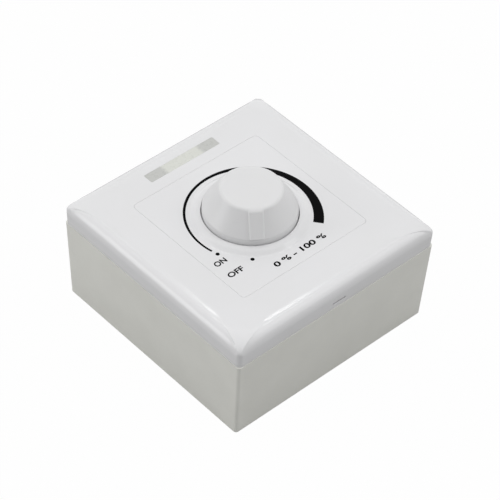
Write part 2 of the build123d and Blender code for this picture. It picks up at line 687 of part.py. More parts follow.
def pot_can():
    """Metal can of the control, with the end stop that limits the turn."""
    can = disc(POT_RADIUS, CAN_BOTTOM, SEAM) - disc(CAN_INNER, CAN_BOTTOM, CAN_CEILING)
    can -= disc(BUSH_RADIUS + RUNNING_GAP, CAN_CEILING, SEAM)
    stop_span = 360 - TURN_RANGE - ROTOR_ARM_SPAN - 2 * STOP_PLAY
    stop_start = REST_ANGLE + ROTOR_ARM_SPAN / 2 + STOP_PLAY
    stop_inner = ROTOR_RADIUS + MOVING_GAP
    stop_outer = CAN_INNER + POT_CAN_WALL / 2
    stop_top = CAN_CEILING + POT_CAN_WALL / 2
    can += sector(stop_inner, stop_outer, ROTOR_BOTTOM, stop_top, stop_start, stop_span)
    return can


def pot_bush():
    """Threaded bush riveted into the can by its flange: the shaft turns in it."""
    bush = disc(BUSH_RADIUS, FLANGE_LOW, BUSH_TOP)
    bush += disc(BUSH_FLANGE_DIAMETER / 2, FLANGE_LOW, CAN_CEILING)
    bush = chamfer(bush.edges().sort_by(Axis.Z)[-1], FIT_GAP)
    bush -= disc(SHAFT_RADIUS + RUNNING_GAP, FLANGE_LOW, BUSH_TOP)
    return bush


def bush_washer():
    """Plain washer under the bush nut."""
    return ring(WASHER_DIAMETER / 2, BUSH_RADIUS + RUNNING_GAP, YOKE_TOP, WASHER_TOP)


def bush_nut():
    """Hexagon nut that clamps the control to the yoke."""
    hexagon = RegularPolygon(BUSH_NUT_FLATS / 2, 6, major_radius=False)
    nut = Pos(0, 0, WASHER_TOP) * extrude(hexagon, amount=BUSH_NUT_HEIGHT)
    return nut - disc(BUSH_RADIUS + RUNNING_GAP, WASHER_TOP, BUSH_NUT_TOP)


def pot_shaft():
    """Shaft with a flat for the knob at its top and a journal in the rotor at its foot."""
    shaft = disc(SHAFT_RADIUS, ROTOR_TOP, BUSH_TOP + FIT_GAP)
    shaft += d_bar(SHAFT_RADIUS, SHAFT_FLAT_OFFSET, BUSH_TOP, SHAFT_TOP)
    shaft += disc(JOURNAL_DIAMETER / 2, ROTOR_BOTTOM, ROTOR_TOP + BURY)
    return Rot(0, 0, REST_ANGLE) * shaft


def pot_rotor():
    """Moulded rotor with the arm that meets the end stop."""
    rotor = disc(ROTOR_RADIUS, ROTOR_BOTTOM, ROTOR_TOP)
    arm_start = REST_ANGLE - ROTOR_ARM_SPAN / 2
    rotor += sector(JOURNAL_DIAMETER / 2, ARM_RADIUS, ROTOR_BOTTOM, ROTOR_TOP, arm_start, ROTOR_ARM_SPAN)
    return rotor - disc(JOURNAL_DIAMETER / 2 + RUNNING_GAP, ROTOR_BOTTOM, ROTOR_TOP)


def pot_wiper():
    """Spring contact under the rotor, with the finger that runs on the track."""
    spring = ring(ROTOR_RADIUS, JOURNAL_DIAMETER / 2, WIPER_BOTTOM, ROTOR_BOTTOM)
    arm_start = REST_ANGLE - ROTOR_ARM_SPAN / 2
    spring += sector(JOURNAL_DIAMETER / 2, ARM_RADIUS, WIPER_BOTTOM, ROTOR_BOTTOM, arm_start, ROTOR_ARM_SPAN)
    half_track = TRACK_WIDTH / 2
    finger_inner = TRACK_RADIUS - half_track / 2
    finger_outer = TRACK_RADIUS + half_track / 2
    spring += sector(finger_inner, finger_outer, CONTACT_BOTTOM, ROTOR_BOTTOM, arm_start, ROTOR_ARM_SPAN)
    return spring


def pot_track():
    """Insulating wafer with the raised horseshoe of the resistance track."""
    wafer = disc(CAN_INNER - FIT_GAP, WAFER_BOTTOM, WAFER_TOP)
    half_track = TRACK_WIDTH / 2
    track_start = REST_ANGLE - TURN_RANGE - ROTOR_ARM_SPAN / 2
    track_span = TURN_RANGE + ROTOR_ARM_SPAN
    wafer += sector(TRACK_RADIUS - half_track, TRACK_RADIUS + half_track, WAFER_TOP - FIT_GAP, TRACK_TOP,
                    track_start, track_span)
    return wafer


def switch_case():
    """Closed case of the on and off switch: its spigot carries the wafer inside the can."""
    case = disc(POT_RADIUS, SWITCH_BOTTOM, CAN_BOTTOM)
    case += disc(CAN_INNER - FIT_GAP, CAN_BOTTOM - BURY, WAFER_BOTTOM)
    side = bar(2 * POT_RADIUS, POT_RADIUS, SWITCH_BOTTOM, CAN_BOTTOM)
    flat = POT_RADIUS - POT_CAN_WALL
    return case - [Pos(0, place * (flat + POT_RADIUS / 2), 0) * side for place in (-1, 1)]


def pin_places():
    """Places of the control's pins, in a row across the board."""
    return [(step - (PIN_COUNT - 1) / 2) * PIN_PITCH for step in range(PIN_COUNT)]


def pot_pins():
    """Row of pins from the switch case down through the board."""
    pin = disc(PIN_DIAMETER / 2, BOARD_BOTTOM - PIN_TAIL, SWITCH_BOTTOM)
    return group([Pos(place, 0, 0) * pin for place in pin_places()])


def circuit_board():
    """Board with notches for the posts and holes for the control's pins."""
    board = block(2 * BOARD_X, 2 * BOARD_Y, BOARD_BOTTOM, BOARD_TOP, BOARD_CORNER)
    notch_side = 2 * (POST_RADIUS + PART_GAP)
    notch = bar(notch_side, notch_side, BOARD_BOTTOM, BOARD_TOP)
    board -= at_four(notch, POST_X, POST_Y)
    hole = disc(PIN_DIAMETER / 2 + FIT_GAP, BOARD_BOTTOM, BOARD_TOP)
    return board - [Pos(place, 0, 0) * hole for place in pin_places()]


def way_places():
    """Places of the terminals, in a row across the block."""
    return [(step - (WAY_COUNT - 1) / 2) * WAY_PITCH for step in range(WAY_COUNT)]


def terminal_block():
    """Insulating block under the board: wires enter from below on the wall, screws face back."""
    half = TERMINAL_DEPTH / 2
    profile = [
        (-half, BOARD_BOTTOM),
        (-half, TERMINAL_BOTTOM + TERMINAL_CHAMFER),
        (-half + TERMINAL_CHAMFER, TERMINAL_BOTTOM),
        (half - TERMINAL_CHAMFER, TERMINAL_BOTTOM),
        (half, TERMINAL_BOTTOM + TERMINAL_CHAMFER),
        (half, BOARD_BOTTOM),
    ]
    body = along_x(profile, TERMINAL_LENGTH)
    room = bar(CLAMP_WIDTH + FIT_GAP, CLAMP_DEPTH + FIT_GAP, CLAMP_BOTTOM, CLAMP_TOP + FIT_GAP)
    well = disc(TERMINAL_SCREW_HEAD / 2 + FIT_GAP, TERMINAL_BOTTOM, CLAMP_BOTTOM)
    mouth_width = CLAMP_WIDTH - 2 * CLAMP_WALL
    mouth = bar(mouth_width, TERMINAL_DEPTH, CLAMP_BOTTOM + CLAMP_WALL, CLAMP_TOP - CLAMP_WALL)
    for place in way_places():
        body -= [Pos(place, 0, 0) * room, Pos(place, 0, 0) * well, Pos(place, -half, 0) * mouth]
    return Pos(0, TERMINAL_Y, 0) * body


def terminal_clamps():
    """Brass cages that grip the wires."""
    cage = bar(CLAMP_WIDTH, CLAMP_DEPTH, CLAMP_BOTTOM, CLAMP_TOP)
    opening = CLAMP_WIDTH - 2 * CLAMP_WALL
    cage -= bar(opening, CLAMP_DEPTH, CLAMP_BOTTOM + CLAMP_WALL, CLAMP_TOP - CLAMP_WALL)
    cage -= disc(TERMINAL_SCREW_DIAMETER / 2 + RUNNING_GAP, CLAMP_BOTTOM, CLAMP_BOTTOM + CLAMP_WALL)
    return group([Pos(place, TERMINAL_Y, 0) * cage for place in way_places()])


def terminal_screws():
    """Clamp screws, driven from the back."""
    head = TERMINAL_SCREW_HEAD
    screw = pan_screw(TERMINAL_SCREW_DIAMETER, head, TERMINAL_SCREW_HEAD_HEIGHT, TERMINAL_SCREW_LENGTH)
    upward = Pos(0, 0, CLAMP_BOTTOM) * Rot(180, 0, 0) * screw
    return group([Pos(place, TERMINAL_Y, 0) * upward for place in way_places()])


def heat_sink():
    """Extruded comb that stands on the board behind the transistor."""
    low = BOARD_TOP
    high = BOARD_TOP + HEAT_SINK_HEIGHT
    sink = Pos(0, HEAT_SINK_FRONT + HEAT_SINK_WALL / 2, 0) * bar(HEAT_SINK_WIDTH, HEAT_SINK_WALL, low, high)
    pitch = (HEAT_SINK_WIDTH - FIN_WALL) / (FIN_COUNT - 1)
    fin = bar(FIN_WALL, FIN_DEPTH + BURY, low, high)
    fin_y = HEAT_SINK_FRONT + HEAT_SINK_WALL + (FIN_DEPTH - BURY) / 2
    for step in range(FIN_COUNT):
        sink += Pos((step - (FIN_COUNT - 1) / 2) * pitch, fin_y, 0) * fin
    return sink - transistor_hole(HEAT_SINK_FRONT + HEAT_SINK_WALL)


def transistor_hole(back):
    """Cross hole for the transistor's screw, from the front as far as a given depth."""
    front = HEAT_SINK_FRONT - TRANSISTOR_DEPTH - WASTE
    cut = Cylinder(SMALL_SCREW_DIAMETER / 2 + RUNNING_GAP, back - front, align=BASE)
    return Pos(0, front, TRANSISTOR_HOLE_Z) * Rot(-90, 0, 0) * cut


def power_transistor():
    """Flat moulded transistor screwed to the heat sink, on three leads."""
    centre = HEAT_SINK_FRONT - TRANSISTOR_DEPTH / 2
    low = BOARD_TOP + TRANSISTOR_LIFT
    case = Pos(0, centre, 0) * bar(TRANSISTOR_WIDTH, TRANSISTOR_DEPTH, low, low + TRANSISTOR_HEIGHT)
    lead = bar(TRANSISTOR_LEAD, TRANSISTOR_LEAD, BOARD_TOP, low + BURY)
    case += [Pos(step * TRANSISTOR_LEAD_PITCH, centre, 0) * lead for step in (-1, 0, 1)]
    return case - transistor_hole(HEAT_SINK_FRONT)


def transistor_screw():
    """Small screw that holds the transistor against the heat sink."""
    seat = Pos(0, HEAT_SINK_FRONT - TRANSISTOR_DEPTH, TRANSISTOR_HOLE_Z)
    return seat * Rot(90, 0, 0) * small_screw(TRANSISTOR_SCREW_LENGTH)


def storage_capacitor():
    """Can capacitor with the rolled groove near its foot."""
    radius = CAPACITOR_DIAMETER / 2
    neck = radius - CAPACITOR_GROOVE
    foot = 4 * CAPACITOR_GROOVE
    can = turned([
        (0, 0),
        (radius - CAPACITOR_GROOVE, 0),
        (radius, CAPACITOR_GROOVE),
        (radius, foot - CAPACITOR_GROOVE),
        (neck, foot),
        (radius, foot + CAPACITOR_GROOVE),
        (radius, CAPACITOR_HEIGHT - CAPACITOR_GROOVE),
        (radius - CAPACITOR_GROOVE, CAPACITOR_HEIGHT),
        (0, CAPACITOR_HEIGHT),
    ])
    return Pos(-TALL_PART_X, TALL_PART_Y, BOARD_TOP) * can


def film_capacitor():
    """Boxed film capacitor with softened edges."""
    case = block(FILM_WIDTH, FILM_LENGTH, BOARD_TOP, BOARD_TOP + FILM_HEIGHT, PART_GAP)
    case = chamfer(case.faces().sort_by(Axis.Z)[-1].edges(), PART_GAP / 2)
    return Pos(-SIDE_PART_X, 0, 0) * case


def choke_core():
    """Ferrite bobbin of the choke."""
    radius = CHOKE_DIAMETER / 2
    waist = CHOKE_CORE_DIAMETER / 2
    core = turned([
        (0, 0),
        (radius, 0),
        (radius, CHOKE_FLANGE),
        (waist, CHOKE_FLANGE),
        (waist, CHOKE_HEIGHT - CHOKE_FLANGE),
        (radius, CHOKE_HEIGHT - CHOKE_FLANGE),
        (radius, CHOKE_HEIGHT),
        (0, CHOKE_HEIGHT),
    ])
    return Pos(TALL_PART_X, TALL_PART_Y, BOARD_TOP) * core


def choke_winding():
    """Copper winding between the bobbin's flanges."""
    outer = CHOKE_DIAMETER / 2 - PART_GAP
    inner = CHOKE_CORE_DIAMETER / 2 + RUNNING_GAP
    coil = ring(outer, inner, CHOKE_FLANGE + RUNNING_GAP, CHOKE_HEIGHT - CHOKE_FLANGE - RUNNING_GAP)
    return Pos(TALL_PART_X, TALL_PART_Y, BOARD_TOP) * coil


def control_chip():
    """Small chip on two rows of bent leads."""
    low = BOARD_TOP + CHIP_LEAD_HEIGHT
    chip = bar(CHIP_WIDTH, CHIP_LENGTH, low, low + CHIP_HEIGHT)
    foot_width = CHIP_WIDTH + 2 * CHIP_LEAD_REACH
    foot = bar(foot_width, CHIP_LEAD_WIDTH, BOARD_TOP, low + BURY)
    for step in range(CHIP_LEADS):
        chip += Pos(0, (step - (CHIP_LEADS - 1) / 2) * CHIP_LEAD_PITCH, 0) * foot
    return Pos(SIDE_PART_X, 0, 0) * chip


PIECES = [
    back_box,
    fixing_nuts,
    yoke_frame,
    fixing_screws,
    module_housing,
    housing_screws,
    circuit_board,
    terminal_block,
    terminal_clamps,
    terminal_screws,
    heat_sink,
    power_transistor,
    transistor_screw,
    storage_capacitor,
    film_capacitor,
    choke_core,
    choke_winding,
    control_chip,
    switch_case,
    pot_pins,
    pot_track,
    pot_can,
    pot_bush,
    bush_washer,
    bush_nut,
    pot_rotor,
    pot_wiper,
    pot_shaft,
    cover_frame,
    window_lens,
    glow_strip,
    face_insert,
    knob,
]

os.makedirs("parts", exist_ok=True)
for piece in PIECES:
    export_step(piece(), "parts/" + piece.__name__ + ".step")
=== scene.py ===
import math

import bpy
from mathutils import Matrix, Vector


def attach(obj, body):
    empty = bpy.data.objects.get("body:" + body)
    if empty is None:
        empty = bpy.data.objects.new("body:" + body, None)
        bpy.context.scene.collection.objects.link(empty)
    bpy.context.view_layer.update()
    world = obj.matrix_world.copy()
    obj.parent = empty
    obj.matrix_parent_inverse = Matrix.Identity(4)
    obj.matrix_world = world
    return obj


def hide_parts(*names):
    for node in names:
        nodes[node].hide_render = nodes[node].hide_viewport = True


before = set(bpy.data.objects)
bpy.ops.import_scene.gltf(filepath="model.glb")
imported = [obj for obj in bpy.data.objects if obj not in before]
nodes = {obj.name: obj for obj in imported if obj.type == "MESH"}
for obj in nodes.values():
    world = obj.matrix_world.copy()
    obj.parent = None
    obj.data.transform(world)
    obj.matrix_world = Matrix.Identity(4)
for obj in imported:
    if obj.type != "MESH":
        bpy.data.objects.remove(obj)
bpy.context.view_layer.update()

# Surface box: the deep case that is screwed to the wall and closed by the cover.
# It is moulded in dull off-white plastic, with drafted sides, two wall slots and a knockout
# in its back, and small rounded edges where the mould parts.
mm = 0.001
box_colour = (0.76, 0.76, 0.715, 1)
box_shade = (0.735, 0.735, 0.69, 1)
box_edge = 0.22

moulding = bpy.data.node_groups.new("moulding", "ShaderNodeTree")
for label, kind, value in (
    ("Colour", "NodeSocketColor", (0.8, 0.8, 0.8, 1)),
    ("Shade", "NodeSocketColor", (0.75, 0.75, 0.75, 1)),
    ("Cloud Scale", "NodeSocketFloat", 90.0),
    ("Grain Scale", "NodeSocketFloat", 3000.0),
    ("Rough Low", "NodeSocketFloat", 0.3),
    ("Rough High", "NodeSocketFloat", 0.4),
):
    moulding.interface.new_socket(label, in_out="INPUT", socket_type=kind).default_value = value
finish_outputs = (
    ("Colour", "NodeSocketColor"),
    ("Roughness", "NodeSocketFloat"),
    ("Height", "NodeSocketFloat"),
)
for label, kind in finish_outputs:
    moulding.interface.new_socket(label, in_out="OUTPUT", socket_type=kind)
given = moulding.nodes.new("NodeGroupInput")
result = moulding.nodes.new("NodeGroupOutput")
place = moulding.nodes.new("ShaderNodeTexCoord")
cloud = moulding.nodes.new("ShaderNodeTexNoise")
cloud.inputs["Detail"].default_value = 3
grain = moulding.nodes.new("ShaderNodeTexNoise")
grain.inputs["Detail"].default_value = 3
spread = moulding.nodes.new("ShaderNodeMapRange")
spread.inputs["From Min"].default_value = 0.35
spread.inputs["From Max"].default_value = 0.65
tone = moulding.nodes.new("ShaderNodeMix")
tone.data_type = "RGBA"
gloss = moulding.nodes.new("ShaderNodeMapRange")
gloss.inputs["From Min"].default_value = 0.3
gloss.inputs["From Max"].default_value = 0.7
wire = moulding.links.new
wire(place.outputs["Object"], cloud.inputs["Vector"])
wire(place.outputs["Object"], grain.inputs["Vector"])
wire(given.outputs["Cloud Scale"], cloud.inputs["Scale"])
wire(given.outputs["Grain Scale"], grain.inputs["Scale"])
wire(cloud.outputs["Fac"], spread.inputs["Value"])
wire(spread.outputs["Result"], tone.inputs["Factor"])
wire(given.outputs["Colour"], tone.inputs["A"])
wire(given.outputs["Shade"], tone.inputs["B"])
wire(grain.outputs["Fac"], gloss.inputs["Value"])
wire(given.outputs["Rough Low"], gloss.inputs["To Min"])
wire(given.outputs["Rough High"], gloss.inputs["To Max"])
wire(tone.outputs["Result"], result.inputs["Colour"])
wire(gloss.outputs["Result"], result.inputs["Roughness"])
wire(grain.outputs["Fac"], result.inputs["Height"])


def moulded_plastic(name, colour, shade, rough, grain_scale, relief, cloud_scale=90.0):
    """Plastic with clouded colour and a fine mould grain: relief is the grain's depth in millimetres."""
    material = bpy.data.materials.new(name)
    material.use_nodes = True
    tree = material.node_tree
    surface = tree.nodes["Principled BSDF"]
    group = tree.nodes.new("ShaderNodeGroup")
    group.node_tree = moulding
    group.inputs["Colour"].default_value = colour
    group.inputs["Shade"].default_value = shade
    group.inputs["Cloud Scale"].default_value = cloud_scale
    group.inputs["Grain Scale"].default_value = grain_scale
    group.inputs["Rough Low"].default_value = rough[0]
    group.inputs["Rough High"].default_value = rough[1]
    bump = tree.nodes.new("ShaderNodeBump")
    bump.inputs["Strength"].default_value = 1.0
    bump.inputs["Distance"].default_value = relief * mm
    tree.links.new(group.outputs["Colour"], surface.inputs["Base Color"])
    tree.links.new(group.outputs["Roughness"], surface.inputs["Roughness"])
    tree.links.new(group.outputs["Height"], bump.inputs["Height"])
    tree.links.new(bump.outputs["Normal"], surface.inputs["Normal"])
    return material


def only(piece):
    """Makes one piece the selected and active one."""
    bpy.ops.object.select_all(action="DESELECT")
    piece.select_set(True)
    bpy.context.view_layer.objects.active = piece


def apply_modifiers(piece):
    """Applies a piece's modifiers in their order."""
    only(piece)
    for modifier in list(piece.modifiers):
        bpy.ops.object.modifier_apply(modifier=modifier.name)


def ease_edges(piece, width, smooth=32, sharp=40, segments=2):
    """Rounds the sharp edges of a piece, and shades the rest of it smooth."""
    only(piece)
    bpy.ops.object.shade_smooth_by_angle(angle=math.radians(smooth))
    bevel = piece.modifiers.new("edge", "BEVEL")
    bevel.width = width * mm
    bevel.segments = segments
    bevel.limit_method = "ANGLE"
    bevel.angle_limit = math.radians(sharp)
    bevel.harden_normals = True
    apply_modifiers(piece)


def wear(piece, material):
    """Gives a piece its one material."""
    piece.data.materials.clear()
    piece.data.materials.append(material)


def solid_copy(node, name):
    """Merged copy of a solid's mesh, free of its loose triangles."""
    piece = bpy.data.objects.new(name, nodes[node].data.copy())
    bpy.context.scene.collection.objects.link(piece)
    only(piece)
    bpy.ops.object.mode_set(mode="EDIT")
    bpy.ops.mesh.select_all(action="SELECT")
    bpy.ops.mesh.remove_doubles(threshold=0.002 * mm)
    bpy.ops.mesh.dissolve_limited(angle_limit=math.radians(0.4))
    bpy.ops.object.mode_set(mode="OBJECT")
    return piece


box_plastic = moulded_plastic("box_plastic", box_colour, box_shade, (0.42, 0.58), 2600.0, 0.02)
wall_box = solid_copy("back_box", "wall_box")
ease_edges(wall_box, box_edge)
wear(wall_box, box_plastic)
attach(wall_box, "dimmer_body")
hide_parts("back_box")

# Yoke: the white moulded carrier inside the box. It is screwed down on the box's two pillars,
# and the cover's hooks snap into its windows.
yoke_plastic = moulded_plastic(
    "yoke_plastic", (0.74, 0.74, 0.72, 1), (0.69, 0.69, 0.67, 1), (0.4, 0.55), 2200.0, 0.02
)
nodes["yoke_frame"].material_slots[0].material = yoke_plastic

# Screws, nuts, pins and washer: zinc-plated steel, drawn and pressed, with fine lengthwise streaks.
# The two large screws hold the yoke, the four small ones the rear case, the rest the terminals.
streaks = bpy.data.node_groups.new("drawn_metal", "ShaderNodeTree")
for label, kind, value in (
    ("Bright", "NodeSocketColor", (0.7, 0.7, 0.7, 1)),
    ("Dull", "NodeSocketColor", (0.5, 0.5, 0.5, 1)),
    ("Streak Scale", "NodeSocketFloat", 1500.0),
    ("Rough Low", "NodeSocketFloat", 0.2),
    ("Rough High", "NodeSocketFloat", 0.4),
):
    streaks.interface.new_socket(label, in_out="INPUT", socket_type=kind).default_value = value
for label, kind in finish_outputs:
    streaks.interface.new_socket(label, in_out="OUTPUT", socket_type=kind)
given = streaks.nodes.new("NodeGroupInput")
result = streaks.nodes.new("NodeGroupOutput")
place = streaks.nodes.new("ShaderNodeTexCoord")
stretch = streaks.nodes.new("ShaderNodeMapping")
stretch.inputs["Scale"].default_value = (1, 1, 0.08)
scratch = streaks.nodes.new("ShaderNodeTexNoise")
scratch.inputs["Detail"].default_value = 4
tone = streaks.nodes.new("ShaderNodeMix")
tone.data_type = "RGBA"
gloss = streaks.nodes.new("ShaderNodeMapRange")
wire = streaks.links.new
wire(place.outputs["Object"], stretch.inputs["Vector"])
wire(stretch.outputs["Vector"], scratch.inputs["Vector"])
wire(given.outputs["Streak Scale"], scratch.inputs["Scale"])
wire(scratch.outputs["Fac"], tone.inputs["Factor"])
wire(given.outputs["Bright"], tone.inputs["A"])
wire(given.outputs["Dull"], tone.inputs["B"])
wire(scratch.outputs["Fac"], gloss.inputs["Value"])
wire(given.outputs["Rough Low"], gloss.inputs["To Min"])
wire(given.outputs["Rough High"], gloss.inputs["To Max"])
wire(tone.outputs["Result"], result.inputs["Colour"])
wire(gloss.outputs["Result"], result.inputs["Roughness"])
wire(scratch.outputs["Fac"], result.inputs["Height"])


def drawn_metal(name, bright, dull, rough):
    """Bare or plated metal with fine streaks."""
    material = bpy.data.materials.new(name)
    material.use_nodes = True
    tree = material.node_tree
    surface = tree.nodes["Principled BSDF"]
    surface.inputs["Metallic"].default_value = 1.0
    group = tree.nodes.new("ShaderNodeGroup")
    group.node_tree = streaks
    group.inputs["Bright"].default_value = bright
    group.inputs["Dull"].default_value = dull
    group.inputs["Rough Low"].default_value = rough[0]
    group.inputs["Rough High"].default_value = rough[1]
    bump = tree.nodes.new("ShaderNodeBump")
    bump.inputs["Distance"].default_value = 0.01 * mm
    tree.links.new(group.outputs["Colour"], surface.inputs["Base Color"])
    tree.links.new(group.outputs["Roughness"], surface.inputs["Roughness"])
    tree.links.new(group.outputs["Height"], bump.inputs["Height"])
    tree.links.new(bump.outputs["Normal"], surface.inputs["Normal"])
    return material


zinc = drawn_metal("zinc", (0.66, 0.66, 0.68, 1), (0.48, 0.48, 0.49, 1), (0.25, 0.45))
for name in (
    "fixing_screws", "fixing_nuts", "housing_screws", "transistor_screw", "terminal_screws", "pot_pins",
    "bush_washer",
):
    nodes[name].material_slots[0].material = zinc

# Rear case of the electronics: a deep tray moulded in dull black plastic.
# It closes the yoke from behind and is held by four small screws.
case_plastic = moulded_plastic(
    "case_plastic", (0.022, 0.022, 0.024, 1), (0.03, 0.03, 0.032, 1), (0.4, 0.6), 2400.0, 0.03
)
nodes["module_housing"].material_slots[0].material = case_plastic

# Circuit board and terminals: a green lacquered laminate, and a green moulded terminal block
# with brass cages, which stands out through the rear case.
board_lacquer = moulded_plastic(
    "board_lacquer", (0.012, 0.09, 0.035, 1), (0.02, 0.13, 0.05, 1), (0.25, 0.35), 900.0, 0.005, 240.0
)
nodes["circuit_board"].material_slots[0].material = board_lacquer
terminal_plastic = moulded_plastic(
    "terminal_plastic", (0.02, 0.15, 0.04, 1), (0.025, 0.18, 0.05, 1), (0.4, 0.5), 1800.0, 0.01
)
nodes["terminal_block"].material_slots[0].material = terminal_plastic
brass = drawn_metal("brass", (0.72, 0.52, 0.22, 1), (0.55, 0.38, 0.15, 1), (0.22, 0.4))
nodes["terminal_clamps"].material_slots[0].material = brass

# Parts on the board: a bare extruded heat sink with its transistor, a sleeved can capacitor,
# a yellow film capacitor, a wound choke and the control chip. All are soldered to the board.
aluminium = drawn_metal("aluminium", (0.76, 0.76, 0.77, 1), (0.62, 0.62, 0.63, 1), (0.3, 0.5))
nodes["heat_sink"].material_slots[0].material = aluminium
resin = moulded_plastic(
    "resin", (0.015, 0.015, 0.016, 1), (0.022, 0.022, 0.023, 1), (0.45, 0.6), 3000.0, 0.01
)
for name in ("power_transistor", "control_chip"):
    nodes[name].material_slots[0].material = resin
sleeve = moulded_plastic("sleeve", (0.01, 0.014, 0.06, 1), (0.014, 0.02, 0.08, 1), (0.25, 0.35), 700.0, 0.01)
nodes["storage_capacitor"].material_slots[0].material = sleeve
film_case = moulded_plastic(
    "film_case", (0.55, 0.33, 0.02, 1), (0.5, 0.3, 0.02, 1), (0.35, 0.45), 1500.0, 0.01
)
nodes["film_capacitor"].material_slots[0].material = film_case
ferrite = moulded_plastic("ferrite", (0.02, 0.02, 0.022, 1), (0.03, 0.03, 0.032, 1), (0.5, 0.7), 4000.0, 0.03)
nodes["choke_core"].material_slots[0].material = ferrite
copper = drawn_metal("copper", (0.62, 0.24, 0.1, 1), (0.42, 0.13, 0.05, 1), (0.25, 0.4))
nodes["choke_winding"].material_slots[0].material = copper

# Rotary control: a tinned can riveted to a brass bush, which is clamped in the yoke by a nut.
# Its shaft carries the knob; the rotor, wiper, track and switch case are inside.
tin = drawn_metal("tin", (0.68, 0.68, 0.66, 1), (0.55, 0.55, 0.54, 1), (0.3, 0.45))
nodes["pot_can"].material_slots[0].material = tin
for name in ("pot_bush", "bush_nut", "pot_wiper"):
    nodes[name].material_slots[0].material = brass
nodes["pot_shaft"].material_slots[0].material = aluminium
laminate = moulded_plastic(
    "laminate", (0.09, 0.045, 0.018, 1), (0.12, 0.06, 0.024, 1), (0.5, 0.6), 1200.0, 0.02
)
for name in ("pot_track", "switch_case"):
    nodes[name].material_slots[0].material = laminate
rotor_plastic = moulded_plastic(
    "rotor_plastic", (0.6, 0.55, 0.4, 1), (0.55, 0.5, 0.36, 1), (0.4, 0.5), 1800.0, 0.01
)
nodes["pot_rotor"].material_slots[0].material = rotor_plastic

# Cover: the glossy white frame that snaps over the yoke. It is one moulding: a flat front, four rolled
# sides with a crease along their tops, and a tongue of the front that rolls down between them at each
# corner. It has an opening for the face plate, a slot for the window and a thin pry slot in its rim.
plate_half = 43.0
plate_corner = 1.9
plate_top = 41.0
seam = 32.0
roll_width = 3.65
roll_drop = 4.3
roll_fullness = 0.6
roll_foot = 0.52
crease_slope = math.tan(math.radians(1))
tongue_length = 10.5
tongue_overhang = 0.3
tongue_fullness = 0.6
tongue_foot = 0.7
tuck = 0.15
crease_round = 0.5
crown_round = 2.5
crown_fade = 6
edge_depth = 0.25
edge_onset = 0.08
opening_half = 27.285
opening_corner = 1.55
ledge_half = 25.8
ledge_top = 39.8
ceiling = 38.8
skirt_inner = 41.4
inner_chamfer = 2.4
rim_round = 0.05
cover_colour = (0.745, 0.745, 0.755, 1)
cover_shade = (0.735, 0.735, 0.742, 1)

root_two = math.sqrt(2)
eighth_turn = math.tan(math.radians(22.5))
corner_cut = plate_corner * eighth_turn
stretch = ((0, 0), (0.3, 1), (0.6, 0.5), (1, 0.15), (1.6, 0), (3, 0), (5, 0), (8, 0), (12, 0), (16, 0))


def eased_ring(inset, cut, height, rounding, groove=0.0, edge=0.0):
    """Ring at one height: a square set in from the sides, its corners cut across the diagonal and eased.
    A groove sinks its straight stretches and runs out at their ends. An edge presses a line in near the ends,
    by the second number of each step of the stretch; the first is its place in sixteenths."""
    half = plate_half - inset
    reach = cut - root_two * inset
    radius = min(rounding, reach / eighth_turn)
    bend = plate_half - root_two * cut + inset - radius * eighth_turn
    hub = half - radius
    middle = plate_half - cut / root_two
    flat = (reach - radius * eighth_turn) / root_two
    rising = []
    for place, press in stretch:
        rising.append((half - edge * press, -bend + bend * place / 16, height - groove * min(1, place)))
    quarter = rising + [(x, -y, z) for x, y, z in rising[-2::-1]]
    for step in range(1, 9):
        angle = math.radians(45 * step / 8)
        quarter.append((hub + radius * math.cos(angle), bend + radius * math.sin(angle), height))
    for step in range(1, 6):
        quarter.append((middle + flat * (1 - step / 3), middle - flat * (1 - step / 3), height))
    for step in range(8):
        angle = math.radians(45 + 45 * step / 8)
        quarter.append((bend + radius * math.cos(angle), hub + radius * math.sin(angle), height))
    points = []
    for cos_turn, sin_turn in ((1, 0), (0, 1), (-1, 0), (0, -1)):
        points += [(x * cos_turn - y * sin_turn, x * sin_turn + y * cos_turn, z) for x, y, z in quarter]
    return points


def square_ring(half, corner, height):
    """Rounded square at one height."""
    inset = plate_half - half
    return eased_ring(inset, root_two * inset + corner * eighth_turn, height, corner)


def rolled(t, slope, fullness, foot):
    """Point of a roll's section as shares of its width and drop, from the crease to the skirt."""
    start = 3 * (1 - t) * (1 - t) * t
    end = 3 * (1 - t) * t * t
    across = start * fullness + end + t ** 3
    down = start * fullness * slope + end * (1 - foot) + t ** 3
    return across, down


def tongue_at(down):
    """Share of the tongue's length at which it has come down so far."""
    low, high = 0.0, 1.0
    for halving in range(40):
        t = (low + high) / 2
        if rolled(t, 0, tongue_fullness, tongue_foot)[1] < down:
            low = t
        else:
            high = t
    return rolled(low, 0, tongue_fullness, tongue_foot)[0]


def roll_ring(t, groove=0.0):
    """Ring on the rolled sides and tongues at the height of one point of the roll."""
    across, down = rolled(t, crease_slope * roll_width / roll_drop, roll_fullness, roll_foot)
    cut = corner_cut - tongue_overhang + tongue_length * (1 - tongue_at(down))
    rounding = crease_round + crown_round * (1 - down) ** crown_fade + (plate_corner - crease_round) * down ** 3
    edge = edge_depth * min(1, down / edge_onset) * max(0, 1 - down)
    inset = roll_width * (1 - across)
    return eased_ring(inset, max(corner_cut, cut), plate_top - roll_drop * down, rounding, groove, edge)


